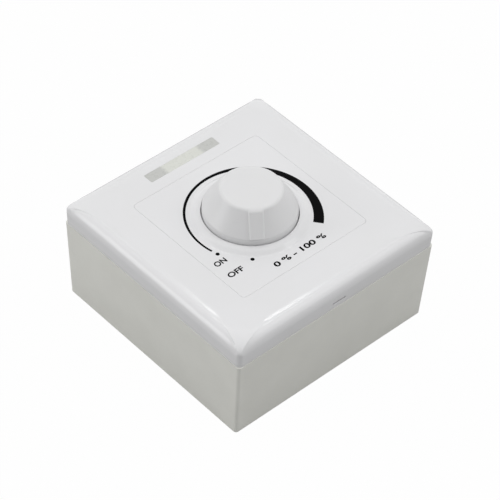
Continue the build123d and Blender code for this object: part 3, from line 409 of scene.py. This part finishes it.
def skin_through(name, rings):
    """Grid primitive bent so that each of its rows follows one ring of points, then sewn up."""
    columns = len(rings[0])
    bpy.ops.object.select_all(action="DESELECT")
    bpy.ops.mesh.primitive_grid_add(x_subdivisions=columns, y_subdivisions=len(rings) - 1, size=1)
    piece = bpy.context.object
    piece.name = name
    for row, ring in enumerate(rings):
        for column in range(columns + 1):
            piece.data.vertices[row * (columns + 1) + column].co = Vector(ring[column % columns]) * mm
    bpy.ops.object.mode_set(mode="EDIT")
    bpy.ops.mesh.select_all(action="SELECT")
    bpy.ops.mesh.remove_doubles(threshold=0.0005 * mm)
    bpy.ops.mesh.dissolve_degenerate(threshold=0.0001 * mm)
    bpy.ops.mesh.normals_make_consistent(inside=False)
    bpy.ops.object.mode_set(mode="OBJECT")
    return piece


tongue_start = corner_cut - tongue_overhang + tongue_length
cover_rings = [
    square_ring(ledge_half, opening_corner, ceiling),
    square_ring(ledge_half, opening_corner, ledge_top),
    square_ring(opening_half, opening_corner, ledge_top),
    square_ring(opening_half, opening_corner, plate_top - 0.12),
    square_ring(opening_half + 0.015, opening_corner, plate_top - 0.03),
    square_ring(opening_half + 0.06, opening_corner, plate_top),
    square_ring(opening_half + 0.2, opening_corner, plate_top),
    square_ring(30.2, 2.0, plate_top),
    eased_ring(9.0, 17.5, plate_top, 2.0),
    eased_ring(roll_width + 1.7, tongue_start + 2.6, plate_top, 1.8),
    eased_ring(roll_width + 1.3, tongue_start + 2.0, plate_top, 1.6, 0.008),
    eased_ring(roll_width + 0.9, tongue_start + 1.4, plate_top, 1.4, 0.035),
    eased_ring(roll_width + 0.5, tongue_start + 0.9, plate_top, 1.2, 0.075),
    eased_ring(roll_width + 0.15, tongue_start + 0.3, plate_top, 1.0, 0.1),
    roll_ring(0, 0.1),
    roll_ring(0.035, 0.08),
    roll_ring(0.06, 0.055),
    roll_ring(0.09, 0.03),
    roll_ring(0.13, 0.01),
]
cover_rings += [roll_ring(t) for t in (0.17, 0.22, 0.27, 0.32, 0.37, 0.42, 0.47, 0.52, 0.57)]
cover_rings += [roll_ring(t) for t in (0.62, 0.67, 0.72, 0.77, 0.82, 0.87, 0.91, 0.95, 0.98, 1)]
cover_rings += [
    square_ring(plate_half - tuck * 0.03, plate_corner, plate_top - roll_drop - 0.4),
    square_ring(plate_half - tuck * 0.2, plate_corner, plate_top - roll_drop - 1.2),
    square_ring(plate_half - tuck * 0.5, plate_corner, plate_top - roll_drop - 2.2),
    square_ring(plate_half - tuck * 0.8, plate_corner, plate_top - roll_drop - 3.2),
    square_ring(plate_half - tuck, plate_corner, seam + rim_round),
    square_ring(plate_half - tuck - 0.015, plate_corner, seam + 0.015),
    square_ring(plate_half - tuck - rim_round, plate_corner, seam),
    square_ring(plate_half - 0.6, plate_corner - 0.5, seam),
    square_ring(skirt_inner, 1.6, seam),
    square_ring(skirt_inner, 1.6, ceiling - inner_chamfer),
    square_ring(skirt_inner - inner_chamfer, 1.6, ceiling),
    square_ring(ledge_half, opening_corner, ceiling),
]
cover = skin_through("cover", cover_rings)

window_length = 30.0
window_width = 4.2
window_corner = 0.4
window_y = 33.8
window_cut_depth = 6.0
pry_width = 5.6
pry_height = 0.7
pry_lift = 2.35
pry_cut_depth = 4.0


def cutter(name, centre, size, corner=0.0):
    """Block that cuts a slot, with its upright edges rounded."""
    bpy.ops.object.select_all(action="DESELECT")
    bpy.ops.mesh.primitive_cube_add(size=1, location=Vector(centre) * mm)
    block = bpy.context.object
    block.name = name
    block.scale = Vector(size) * mm
    bpy.ops.object.transform_apply(location=True, rotation=True, scale=True)
    if corner:
        bpy.ops.object.mode_set(mode="EDIT")
        bpy.ops.mesh.select_all(action="DESELECT")
        bpy.ops.mesh.select_mode(type="EDGE")
        bpy.ops.object.mode_set(mode="OBJECT")
        for edge in block.data.edges:
            low, high = (block.data.vertices[index].co for index in edge.vertices)
            edge.select = abs(high.z - low.z) > 0.5 * size[2] * mm
        bpy.ops.object.mode_set(mode="EDIT")
        bpy.ops.mesh.bevel(offset=corner * mm, segments=4, affect="EDGES")
        bpy.ops.object.mode_set(mode="OBJECT")
    return block


def cut_out(piece, block):
    """Cuts a block out of a piece and removes the block."""
    cut = piece.modifiers.new("cut", "BOOLEAN")
    cut.operation = "DIFFERENCE"
    cut.object = block
    cut.solver = "EXACT"
    apply_modifiers(piece)
    bpy.data.objects.remove(block)


window_size = (window_length, window_width, window_cut_depth)
cut_out(cover, cutter("window_cut", (0, window_y, plate_top), window_size, window_corner))
pry_size = (pry_width, pry_cut_depth, pry_height)
cut_out(cover, cutter("pry_cut", (0, -plate_half, seam + pry_lift), pry_size))


def clip_arm(name, width, wall, length, nose, nose_low, nose_height):
    """Snap arm hanging from zero on its outer face, with a nose on the inner side (towards -Y)."""
    bpy.ops.object.select_all(action="DESELECT")
    bpy.ops.mesh.primitive_cube_add(size=1, location=Vector((0, -wall / 2, -length / 2)) * mm)
    arm = bpy.context.object
    arm.name = name
    arm.scale = Vector((width, wall, length)) * mm
    bpy.ops.object.transform_apply(location=True, rotation=True, scale=True)
    bpy.ops.object.mode_set(mode="EDIT")
    for height in (-nose_low, nose_height - nose_low):
        bpy.ops.mesh.select_all(action="SELECT")
        bpy.ops.mesh.bisect(plane_co=Vector((0, 0, height)) * mm, plane_no=(0, 0, 1))
    bpy.ops.mesh.select_mode(type="FACE")
    bpy.ops.mesh.select_all(action="DESELECT")
    bpy.ops.object.mode_set(mode="OBJECT")
    for face in arm.data.polygons:
        middle = face.center.z / mm + nose_low
        face.select = face.normal.y < -0.9 and 0 < middle < nose_height
    bpy.ops.object.mode_set(mode="EDIT")
    bpy.ops.mesh.extrude_region_move(TRANSFORM_OT_translate={"value": (0, -nose * mm, 0)})
    bpy.ops.object.mode_set(mode="OBJECT")
    return arm


def stand_arms(piece, arm, places):
    """Copies an arm to each place and turn, and joins all to the piece."""
    copies = []
    for x, y, z, turn in places:
        copy = bpy.data.objects.new(arm.name + "_copy", arm.data.copy())
        bpy.context.scene.collection.objects.link(copy)
        copy.location = Vector((x, y, z)) * mm
        copy.rotation_euler = (0, 0, math.radians(turn))
        copies.append(copy)
    bpy.data.objects.remove(arm)
    bpy.ops.object.select_all(action="DESELECT")
    for copy in copies:
        copy.select_set(True)
    bpy.context.view_layer.objects.active = copies[0]
    bpy.ops.object.transform_apply(location=True, rotation=True, scale=True)
    piece.select_set(True)
    bpy.context.view_layer.objects.active = piece
    bpy.ops.object.join()


hook_x = 25
hook_y = 37.2
hook_z = ceiling + 0.3
hook_tip = 30.1
hook_nose_low = 30.9
hook_width = 6.0
hook_wall = 1.4
hook_nose = 0.9
hook_nose_height = 1.0
cover_hook = clip_arm(
    "cover_hook", hook_width, hook_wall, hook_z - hook_tip, hook_nose, hook_z - hook_nose_low, hook_nose_height
)
stand_arms(cover, cover_hook, [
    (hook_x, hook_y, hook_z, 0),
    (-hook_x, hook_y, hook_z, 0),
    (hook_x, -hook_y, hook_z, 180),
    (-hook_x, -hook_y, hook_z, 180),
])
ease_edges(cover, 0.1, smooth=30, sharp=50)
cover_plastic = moulded_plastic("cover_plastic", cover_colour, cover_shade, (0.1, 0.13), 700.0, 0.0003, 60.0)
wear(cover, cover_plastic)
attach(cover, "dimmer_body")
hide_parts("cover_frame")

# Window: a milky strip pressed into the slot from behind, with a pale green strip stuck behind its middle.
# Its colour holds painted light: lighter over the middle, where the strip shows through, and painted shade at
# the ends, where they look into the dark inside.
lens_length = 29.98
lens_depth = 4.18
lens_top = plate_top - 0.01
lens_flange = 37.8
lens_flange_length = 32.4
lens_flange_width = 6.6
lens_corner = 0.4
pole = 0.0001
painted_light_reach = 6.9
painted_shade_reach = 8.7
lens_painted_light = (0.645, 0.655, 0.61, 1)
lens_painted_shade = (0.51, 0.515, 0.495, 1)


def bar_ring(length, width, corner, height):
    """Rounded rectangle about the window's centre."""
    points = []
    for quarter, (side_x, side_y) in enumerate(((1, 1), (-1, 1), (-1, -1), (1, -1))):
        for step in range(7):
            angle = math.radians(90 * quarter + 15 * step)
            x = side_x * (length / 2 - corner) + corner * math.cos(angle)
            y = side_y * (width / 2 - corner) + corner * math.sin(angle)
            points.append((x, window_y + y, height))
    return points


lens = skin_through("lens", [
    bar_ring(2 * pole, 2 * pole, pole, lens_flange),
    bar_ring(lens_flange_length, lens_flange_width, lens_corner, lens_flange),
    bar_ring(lens_flange_length, lens_flange_width, lens_corner, ceiling),
    bar_ring(lens_length, lens_depth, lens_corner, ceiling),
    bar_ring(lens_length, lens_depth, lens_corner, lens_top - 0.1),
    bar_ring(lens_length - 0.03, lens_depth - 0.03, 0.38, lens_top - 0.02),
    bar_ring(lens_length - 0.12, lens_depth - 0.12, 0.35, lens_top),
    bar_ring(lens_length - 0.8, lens_depth - 0.8, 0.3, lens_top),
    bar_ring(2 * pole, 2 * pole, pole, lens_top),
])
only(lens)
bpy.ops.object.shade_smooth_by_angle(angle=math.radians(35))
lens_plastic = bpy.data.materials.new("lens_plastic")
lens_plastic.use_nodes = True
tree = lens_plastic.node_tree
surface = tree.nodes["Principled BSDF"]
place = tree.nodes.new("ShaderNodeTexCoord")
parts = tree.nodes.new("ShaderNodeSeparateXYZ")
reach = tree.nodes.new("ShaderNodeMath")
reach.operation = "ABSOLUTE"
fade = tree.nodes.new("ShaderNodeMapRange")
fade.interpolation_type = "SMOOTHSTEP"
fade.inputs["From Min"].default_value = painted_light_reach * mm
fade.inputs["From Max"].default_value = painted_shade_reach * mm
# Painted light and shade: the lens is coloured lighter over the strip and darker towards its ends.
painted_light_mix = tree.nodes.new("ShaderNodeMix")
painted_light_mix.data_type = "RGBA"
painted_light_mix.inputs["A"].default_value = lens_painted_light
painted_light_mix.inputs["B"].default_value = lens_painted_shade
milk = tree.nodes.new("ShaderNodeTexNoise")
milk.inputs["Scale"].default_value = 700.0
milk.inputs["Detail"].default_value = 3
dull = tree.nodes.new("ShaderNodeMapRange")
dull.inputs["To Min"].default_value = 0.2
dull.inputs["To Max"].default_value = 0.36
tree.links.new(place.outputs["Object"], parts.inputs["Vector"])
tree.links.new(place.outputs["Object"], milk.inputs["Vector"])
tree.links.new(parts.outputs["X"], reach.inputs[0])
tree.links.new(reach.outputs["Value"], fade.inputs["Value"])
tree.links.new(fade.outputs["Result"], painted_light_mix.inputs["Factor"])
tree.links.new(painted_light_mix.outputs["Result"], surface.inputs["Base Color"])
tree.links.new(milk.outputs["Fac"], dull.inputs["Value"])
tree.links.new(dull.outputs["Result"], surface.inputs["Roughness"])
wear(lens, lens_plastic)
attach(lens, "dimmer_body")
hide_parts("window_lens")
glow_plastic = moulded_plastic(
    "glow_plastic", (0.62, 0.7, 0.52, 1), (0.58, 0.66, 0.48, 1), (0.5, 0.6), 1200.0, 0.01
)
nodes["glow_strip"].material_slots[0].material = glow_plastic

# Face plate: the thin glossy square that drops into the cover's opening and clips under its ledge.
# A low collar stands round the knob's well; both are part of the same white moulding.
face_half = 27.25
face_corner = 1.5
well_radius = 16.2
collar_land = 18.4
collar_foot = 19.8
collar_top = plate_top + 0.95
well_floor = 39.4
well_back = 38.2
well_outer = 17.4
shaft_hole = 3.9
near_corner = [angle / 10 for angle in range(405, 500, 5) if angle not in (420, 450, 480)]
quarter_angles = list(range(0, 90, 3)) + near_corner
face_angles = sorted({turn + angle for turn in (0, 90, 180, 270) for angle in quarter_angles})


def face_square(half, corner, height):
    """Rounded square met by rays from the centre."""
    points = []
    for degrees in face_angles:
        angle = math.radians(degrees)
        cos_ray, sin_ray = math.cos(angle), math.sin(angle)
        reach = half / max(abs(cos_ray), abs(sin_ray))
        middle = half - corner
        if reach * min(abs(cos_ray), abs(sin_ray)) > middle:
            along = middle * (abs(cos_ray) + abs(sin_ray))
            reach = along + math.sqrt(max(0.0, along * along - 2 * middle * middle + corner * corner))
        points.append((reach * cos_ray, reach * sin_ray, height))
    return points


def face_circle(radius, height):
    """Circle met by the same rays."""
    angles = [math.radians(degrees) for degrees in face_angles]
    return [(radius * math.cos(angle), radius * math.sin(angle), height) for angle in angles]


face = skin_through("face", [
    face_circle(shaft_hole, well_floor),
    face_circle(well_radius - 0.3, well_floor),
    face_circle(well_radius, well_floor + 0.3),
    face_circle(well_radius, collar_top - 0.1),
    face_circle(well_radius, collar_top + 0.2),
    face_circle(well_radius + 0.05, collar_top + 0.3),
    face_circle(well_radius + 0.16, collar_top + 0.34),
    face_circle(well_radius + 0.35, collar_top + 0.32),
    face_circle(well_radius + 0.9, collar_top + 0.24),
    face_circle(well_radius + 1.5, collar_top + 0.12),
    face_circle(collar_land - 0.3, collar_top),
    face_circle(collar_land, collar_top - 0.12),
    face_circle(collar_land + 0.3, collar_top - 0.27),
    face_circle(collar_foot - 0.6, plate_top + 0.35),
    face_circle(collar_foot - 0.25, plate_top + 0.15),
    face_circle(collar_foot, plate_top + 0.05),
    face_circle(collar_foot + 0.25, plate_top),
    face_circle(collar_foot + 0.6, plate_top),
    face_square(24.5, 3.0, plate_top),
    face_square(face_half - 0.25, face_corner - 0.1, plate_top),
    face_square(face_half - 0.1, face_corner, plate_top),
    face_square(face_half - 0.03, face_corner, plate_top - 0.03),
    face_square(face_half, face_corner, plate_top - 0.1),
    face_square(face_half, face_corner, plate_top - 0.3),
    face_square(face_half, face_corner, ledge_top),
    face_square(24.5, 3.0, ledge_top),
    face_circle(well_outer, ledge_top),
    face_circle(well_outer, well_back),
    face_circle(shaft_hole, well_back),
    face_circle(shaft_hole, well_floor),
])
leg_x = 24.3
leg_y = 17.0
leg_z = 40.3
leg_tip = 37.2
leg_nose_low = 37.9
leg_width = 6.0
leg_wall = 1.2
leg_nose = 0.7
leg_nose_height = 0.8
face_leg = clip_arm(
    "face_leg", leg_width, leg_wall, leg_z - leg_tip, leg_nose, leg_z - leg_nose_low, leg_nose_height
)
stand_arms(face, face_leg, [
    (leg_x, leg_y, leg_z, 90),
    (leg_x, -leg_y, leg_z, 90),
    (-leg_x, leg_y, leg_z, -90),
    (-leg_x, -leg_y, leg_z, -90),
])
only(face)
bpy.ops.object.shade_smooth_by_angle(angle=math.radians(40))
face_plastic = moulded_plastic("face_plastic", cover_colour, cover_shade, (0.1, 0.13), 700.0, 0.0003, 60.0)
wear(face, face_plastic)
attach(face, "dimmer_body")
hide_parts("face_insert")

# Print on the face plate: a thin film of black ink, screen printed. A wedge-shaped arc shows the
# dimming range, two dots the switch's places, with short words beside them.
ink_height = 0.02
dot_radius = 0.69
arc_start = -166.5
arc_sweep = 244.2
arc_steps = 150
arc_inner = 20.82
arc_inner_rise = 0.43
arc_outer = 21.95
arc_widening = 2.45
widening_start = 0.36
widening_span = 0.72

ink = moulded_plastic("ink", (0.002, 0.002, 0.0023, 1), (0.0035, 0.0035, 0.004, 1), (0.5, 0.6), 2000.0, 0.002)
ink.node_tree.nodes["Principled BSDF"].inputs["Specular IOR Level"].default_value = 0.03


def printed(piece):
    """Inks a flat piece and fixes it to the face plate."""
    wear(piece, ink)
    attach(piece, "dimmer_body")


arc_rings = []
for step in range(arc_steps + 1):
    share = step / arc_steps
    angle = math.radians(arc_start - arc_sweep * share)
    inner = arc_inner + arc_inner_rise * (1 - share) ** 2.5
    late = max(0.0, (share - widening_start) / widening_span)
    outer = arc_outer + arc_widening * (3 - 2 * late) * late * late
    corners = ((inner, 0), (inner, ink_height), (outer, ink_height), (outer, 0))
    arc_rings.append([
        (radius * math.cos(angle), radius * math.sin(angle), plate_top + height) for radius, height in corners
    ])
arc_print = skin_through("arc_print", arc_rings)
bpy.ops.object.mode_set(mode="EDIT")
bpy.ops.mesh.select_all(action="DESELECT")
bpy.ops.mesh.select_mode(type="EDGE")
bpy.ops.mesh.select_non_manifold()
bpy.ops.mesh.edge_face_add()
bpy.ops.object.mode_set(mode="OBJECT")
printed(arc_print)

for name, x, y in (("on_dot", -20.47, -7.2), ("off_dot", -13.43, -16.12)):
    bpy.ops.object.select_all(action="DESELECT")
    bpy.ops.mesh.primitive_circle_add(
        vertices=40, radius=dot_radius * mm, fill_type="NGON", location=Vector((x, y, plate_top)) * mm
    )
    dot = bpy.context.object
    dot.name = name
    bpy.ops.object.transform_apply(location=True, rotation=True, scale=True)
    bpy.ops.object.mode_set(mode="EDIT")
    bpy.ops.mesh.select_all(action="SELECT")
    bpy.ops.mesh.extrude_region_move(TRANSFORM_OT_translate={"value": (0, 0, ink_height * mm)})
    bpy.ops.mesh.select_all(action="SELECT")
    bpy.ops.mesh.normals_make_consistent(inside=False)
    bpy.ops.object.mode_set(mode="OBJECT")
    printed(dot)

for name, words, weight, left, right, low, high in (
    ("on_word", "ON", 0.028, -24.6, -19.99, -11.65, -9.4),
    ("off_word", "OFF", 0.028, -24.45, -18.29, -18.0, -15.78),
    ("range_words", "0 % - 100 %", 0.032, -9.93, 12.09, -23.9, -21.65),
):
    bpy.ops.object.select_all(action="DESELECT")
    bpy.ops.object.text_add()
    word = bpy.context.object
    word.name = name
    word.data.body = words
    word.data.offset = weight
    word.data.fill_mode = "FRONT"
    bpy.ops.object.convert(target="MESH")
    low_corner = Vector([min(vertex.co[axis] for vertex in word.data.vertices) for axis in range(3)])
    high_corner = Vector([max(vertex.co[axis] for vertex in word.data.vertices) for axis in range(3)])
    wide = (right - left) * mm / (high_corner.x - low_corner.x)
    tall = (high - low) * mm / (high_corner.y - low_corner.y)
    for vertex in word.data.vertices:
        x = left * mm + (vertex.co.x - low_corner.x) * wide
        y = low * mm + (vertex.co.y - low_corner.y) * tall
        vertex.co = (x, y, plate_top * mm)
    bpy.ops.object.mode_set(mode="EDIT")
    bpy.ops.mesh.select_all(action="SELECT")
    bpy.ops.mesh.remove_doubles(threshold=0.001 * mm)
    bpy.ops.mesh.extrude_region_move(TRANSFORM_OT_translate={"value": (0, 0, ink_height * mm)})
    bpy.ops.mesh.select_all(action="SELECT")
    bpy.ops.mesh.normals_make_consistent(inside=False)
    bpy.ops.object.mode_set(mode="OBJECT")
    printed(word)

# Knob: a hollow satin-white cone pushed on the shaft's flat. Its base runs in the face plate's well,
# its top is flat with a rounded rim, and one flat-faced rib down its side is the pointer.
knob_base = 15.9
knob_top_radius = 10.4
knob_bottom = 40.2
band_top = 44.1
knob_top = 52.8
rim_round_knob = 1.4
rib_half = 2.55
rib_lift_low = 0.78
rib_lift_high = 0.6
rib_edge = 0.45
rib_low = 44.5
knob_wall = 1.8
knob_ceiling = 51.0
hub_radius = 5.0
hub_foot = 41.0
bore_radius = 3.05
bore_top = 48.05
rest_angle = math.radians(-124)
cone_slope = (knob_base - knob_top_radius) / (knob_top - band_top)


def cone_at(height):
    """Radius of the cone at a height."""
    return knob_base - cone_slope * (height - band_top)


def knob_ring(radius, height, lift=None):
    """Ring of the knob: with a lift it carries the pointer, whose face stands that far off the chord."""
    edge = min(rib_half, radius)
    foot = math.sqrt(radius * radius - edge * edge)
    if lift is None:
        across = [-edge, -edge, -edge * 0.9, -edge * 0.5, 0.0, edge * 0.5, edge * 0.9, edge, edge]
        local = [(math.sqrt(max(0.0, radius * radius - y * y)), y) for y in across]
    else:
        front = foot + lift
        bevel = min(rib_edge, lift)
        across = [-edge, -edge, bevel - edge, -edge / 2, 0.0, edge / 2, edge - bevel, edge, edge]
        depth = [foot, front - bevel, front, front, front, front, front, front - bevel, foot]
        local = list(zip(depth, across))
    start = math.asin(edge / radius)
    for step in range(1, 120):
        angle = start + (2 * math.pi - 2 * start) * step / 120
        local.append((radius * math.cos(angle), radius * math.sin(angle)))
    cos_turn, sin_turn = math.cos(rest_angle), math.sin(rest_angle)
    return [(x * cos_turn - y * sin_turn, x * sin_turn + y * cos_turn, height) for x, y in local]


knob_rings = [
    knob_ring(pole, bore_top),
    knob_ring(bore_radius, bore_top),
    knob_ring(bore_radius, hub_foot),
    knob_ring(hub_radius, hub_foot),
    knob_ring(hub_radius, knob_ceiling),
    knob_ring(cone_at(knob_ceiling) - knob_wall, knob_ceiling),
    knob_ring(knob_base - knob_wall, band_top),
    knob_ring(knob_base - knob_wall, knob_bottom),
    knob_ring(knob_base - 0.2, knob_bottom),
    knob_ring(knob_base, knob_bottom + 0.2),
    knob_ring(knob_base, knob_bottom + 0.5),
    knob_ring(knob_base, band_top - 0.8),
    knob_ring(knob_base - 0.02, band_top - 0.5),
    knob_ring(knob_base - 0.08, band_top - 0.2),
    knob_ring(cone_at(band_top + 0.1) - 0.11, band_top + 0.1),
    knob_ring(cone_at(rib_low - 0.12), rib_low - 0.12),
    knob_ring(cone_at(rib_low), rib_low, 0.22),
    knob_ring(cone_at(rib_low + 0.3), rib_low + 0.3, rib_lift_low),
]
lean = math.atan(cone_slope)
rim_reach = rim_round_knob * math.tan((math.pi / 2 - lean) / 2)
rim_start = knob_top - rim_reach * math.cos(lean)
rim_centre = cone_at(rim_start) - rim_round_knob * math.cos(lean)
for share in (0.15, 0.35, 0.55, 0.75, 0.9, 0.97):
    height = rib_low + 0.3 + (rim_start - rib_low - 0.3) * share
    lift = rib_lift_low + (rib_lift_high - rib_lift_low) * share
    knob_rings.append(knob_ring(cone_at(height), height, lift))
for step in range(9):
    angle = lean + (math.pi / 2 - lean) * step / 8
    radius = rim_centre + rim_round_knob * math.cos(angle)
    height = knob_top - rim_round_knob + rim_round_knob * math.sin(angle)
    knob_rings.append(knob_ring(radius, height, rib_lift_high * (1 - step / 8)))
knob_rings += [
    knob_ring(rim_centre - 0.35, knob_top),
    knob_ring(rim_centre * 0.6, knob_top),
    knob_ring(pole, knob_top),
]
knob = skin_through("turn_knob", knob_rings)
only(knob)
bpy.ops.object.shade_smooth_by_angle(angle=math.radians(32))
knob_plastic = moulded_plastic(
    "knob_plastic", (0.715, 0.715, 0.72, 1), (0.7, 0.7, 0.705, 1), (0.36, 0.44), 1500.0, 0.003, 60.0
)
wear(knob, knob_plastic)
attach(knob, "knob_body")
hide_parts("knob")

# Studio: a plain floor under soft lamps, seen from above the front corner with a long lens.
# The floor is white to the camera, apart from a trace of shadow, and mid grey to the part.
# Two small lamps far behind the part draw the highlight along the crease of the near sides.
floor_tone = (0.45, 0.45, 0.45, 1)
floor_shine = 0.985
near_sky = 0.39
aim_height = 0.03
bpy.ops.object.select_all(action="DESELECT")
bpy.ops.mesh.primitive_plane_add(size=8, location=(0, 0, -0.0002))
floor = bpy.context.object
floor.name = "floor"
floor_paper = bpy.data.materials.new("floor_paper")
floor_paper.use_nodes = True
tree = floor_paper.node_tree
paper = tree.nodes["Principled BSDF"]
paper.inputs["Base Color"].default_value = floor_tone
paper.inputs["Roughness"].default_value = 0.9
paper.inputs["Specular IOR Level"].default_value = 0.1
shine = tree.nodes.new("ShaderNodeEmission")
shine.inputs["Strength"].default_value = 1.0
path = tree.nodes.new("ShaderNodeLightPath")
seen = tree.nodes.new("ShaderNodeMath")
seen.operation = "MULTIPLY"
seen.inputs[1].default_value = floor_shine
blend = tree.nodes.new("ShaderNodeMixShader")
tree.links.new(path.outputs["Is Camera Ray"], seen.inputs[0])
tree.links.new(seen.outputs["Value"], blend.inputs["Fac"])
tree.links.new(paper.outputs["BSDF"], blend.inputs[1])
tree.links.new(shine.outputs["Emission"], blend.inputs[2])
tree.links.new(blend.outputs["Shader"], tree.nodes["Material Output"].inputs["Surface"])
floor.data.materials.append(floor_paper)

world = bpy.context.scene.world or bpy.data.worlds.new("studio")
bpy.context.scene.world = world
world.use_nodes = True
tree = world.node_tree
sky = tree.nodes["Background"]
sky.inputs["Color"].default_value = (1, 1, 1, 1)
path = tree.nodes.new("ShaderNodeLightPath")
bearing = tree.nodes.new("ShaderNodeTexCoord")
away = tree.nodes.new("ShaderNodeVectorMath")
away.operation = "DOT_PRODUCT"
away.inputs[1].default_value = (0.707, 0.707, 0)
dome = tree.nodes.new("ShaderNodeMapRange")
dome.inputs["From Min"].default_value = -1.0
dome.inputs["To Min"].default_value = near_sky
dome.inputs["To Max"].default_value = 1.0
level = tree.nodes.new("ShaderNodeMapRange")
level.inputs["To Max"].default_value = 1.0
tree.links.new(bearing.outputs["Generated"], away.inputs[0])
tree.links.new(away.outputs["Value"], dome.inputs["Value"])
tree.links.new(dome.outputs["Result"], level.inputs["To Min"])
tree.links.new(path.outputs["Is Camera Ray"], level.inputs["Value"])
tree.links.new(level.outputs["Result"], sky.inputs["Strength"])


def softbox(name, place, width, length, lean, watts):
    """Lamp with a cloth front, aimed at the part and leant about its own line of aim."""
    bpy.ops.object.light_add(type="AREA", location=place)
    lamp = bpy.context.object
    lamp.name = name
    lamp.data.shape = "RECTANGLE"
    lamp.data.size = width
    lamp.data.size_y = length
    lamp.data.energy = watts
    aim = (Vector((0, 0, aim_height)) - Vector(place)).to_track_quat("-Z", "Y")
    lamp.rotation_euler = (aim.to_matrix() @ Matrix.Rotation(math.radians(lean), 3, "Z")).to_euler()


softbox("overhead_lamp", (0.0, -0.1, 1.0), 1.3, 1.3, 0, 2.45)
softbox("left_strip", (-0.56, 0.56, 0.64), 0.3, 1.0, 31, 0.9)
softbox("left_low_strip", (-0.47, 0.27, 0.16), 0.16, 0.32, 0, 0.42)
softbox("right_strip", (0.56, -0.56, 0.64), 0.3, 1.0, -31, 1.4)
softbox("crease_lamp_y", (0.476, 0.345, 0.85), 0.06, 0.06, 0, 0.08)
softbox("crease_lamp_x", (0.335, 0.471, 0.85), 0.06, 0.06, 0, 0.1)

bpy.ops.object.camera_add(
    location=(-0.383544, -0.394391, 0.572694),
    rotation=(math.radians(45.0472), math.radians(-2.1867), math.radians(-42.089)),
)
camera = bpy.context.object
camera.name = "camera"
camera.data.lens = 168.741
camera.data.sensor_width = 36.0
camera.data.clip_start = 0.01
bpy.context.scene.camera = camera
bpy.context.scene.view_settings.view_transform = "Standard"
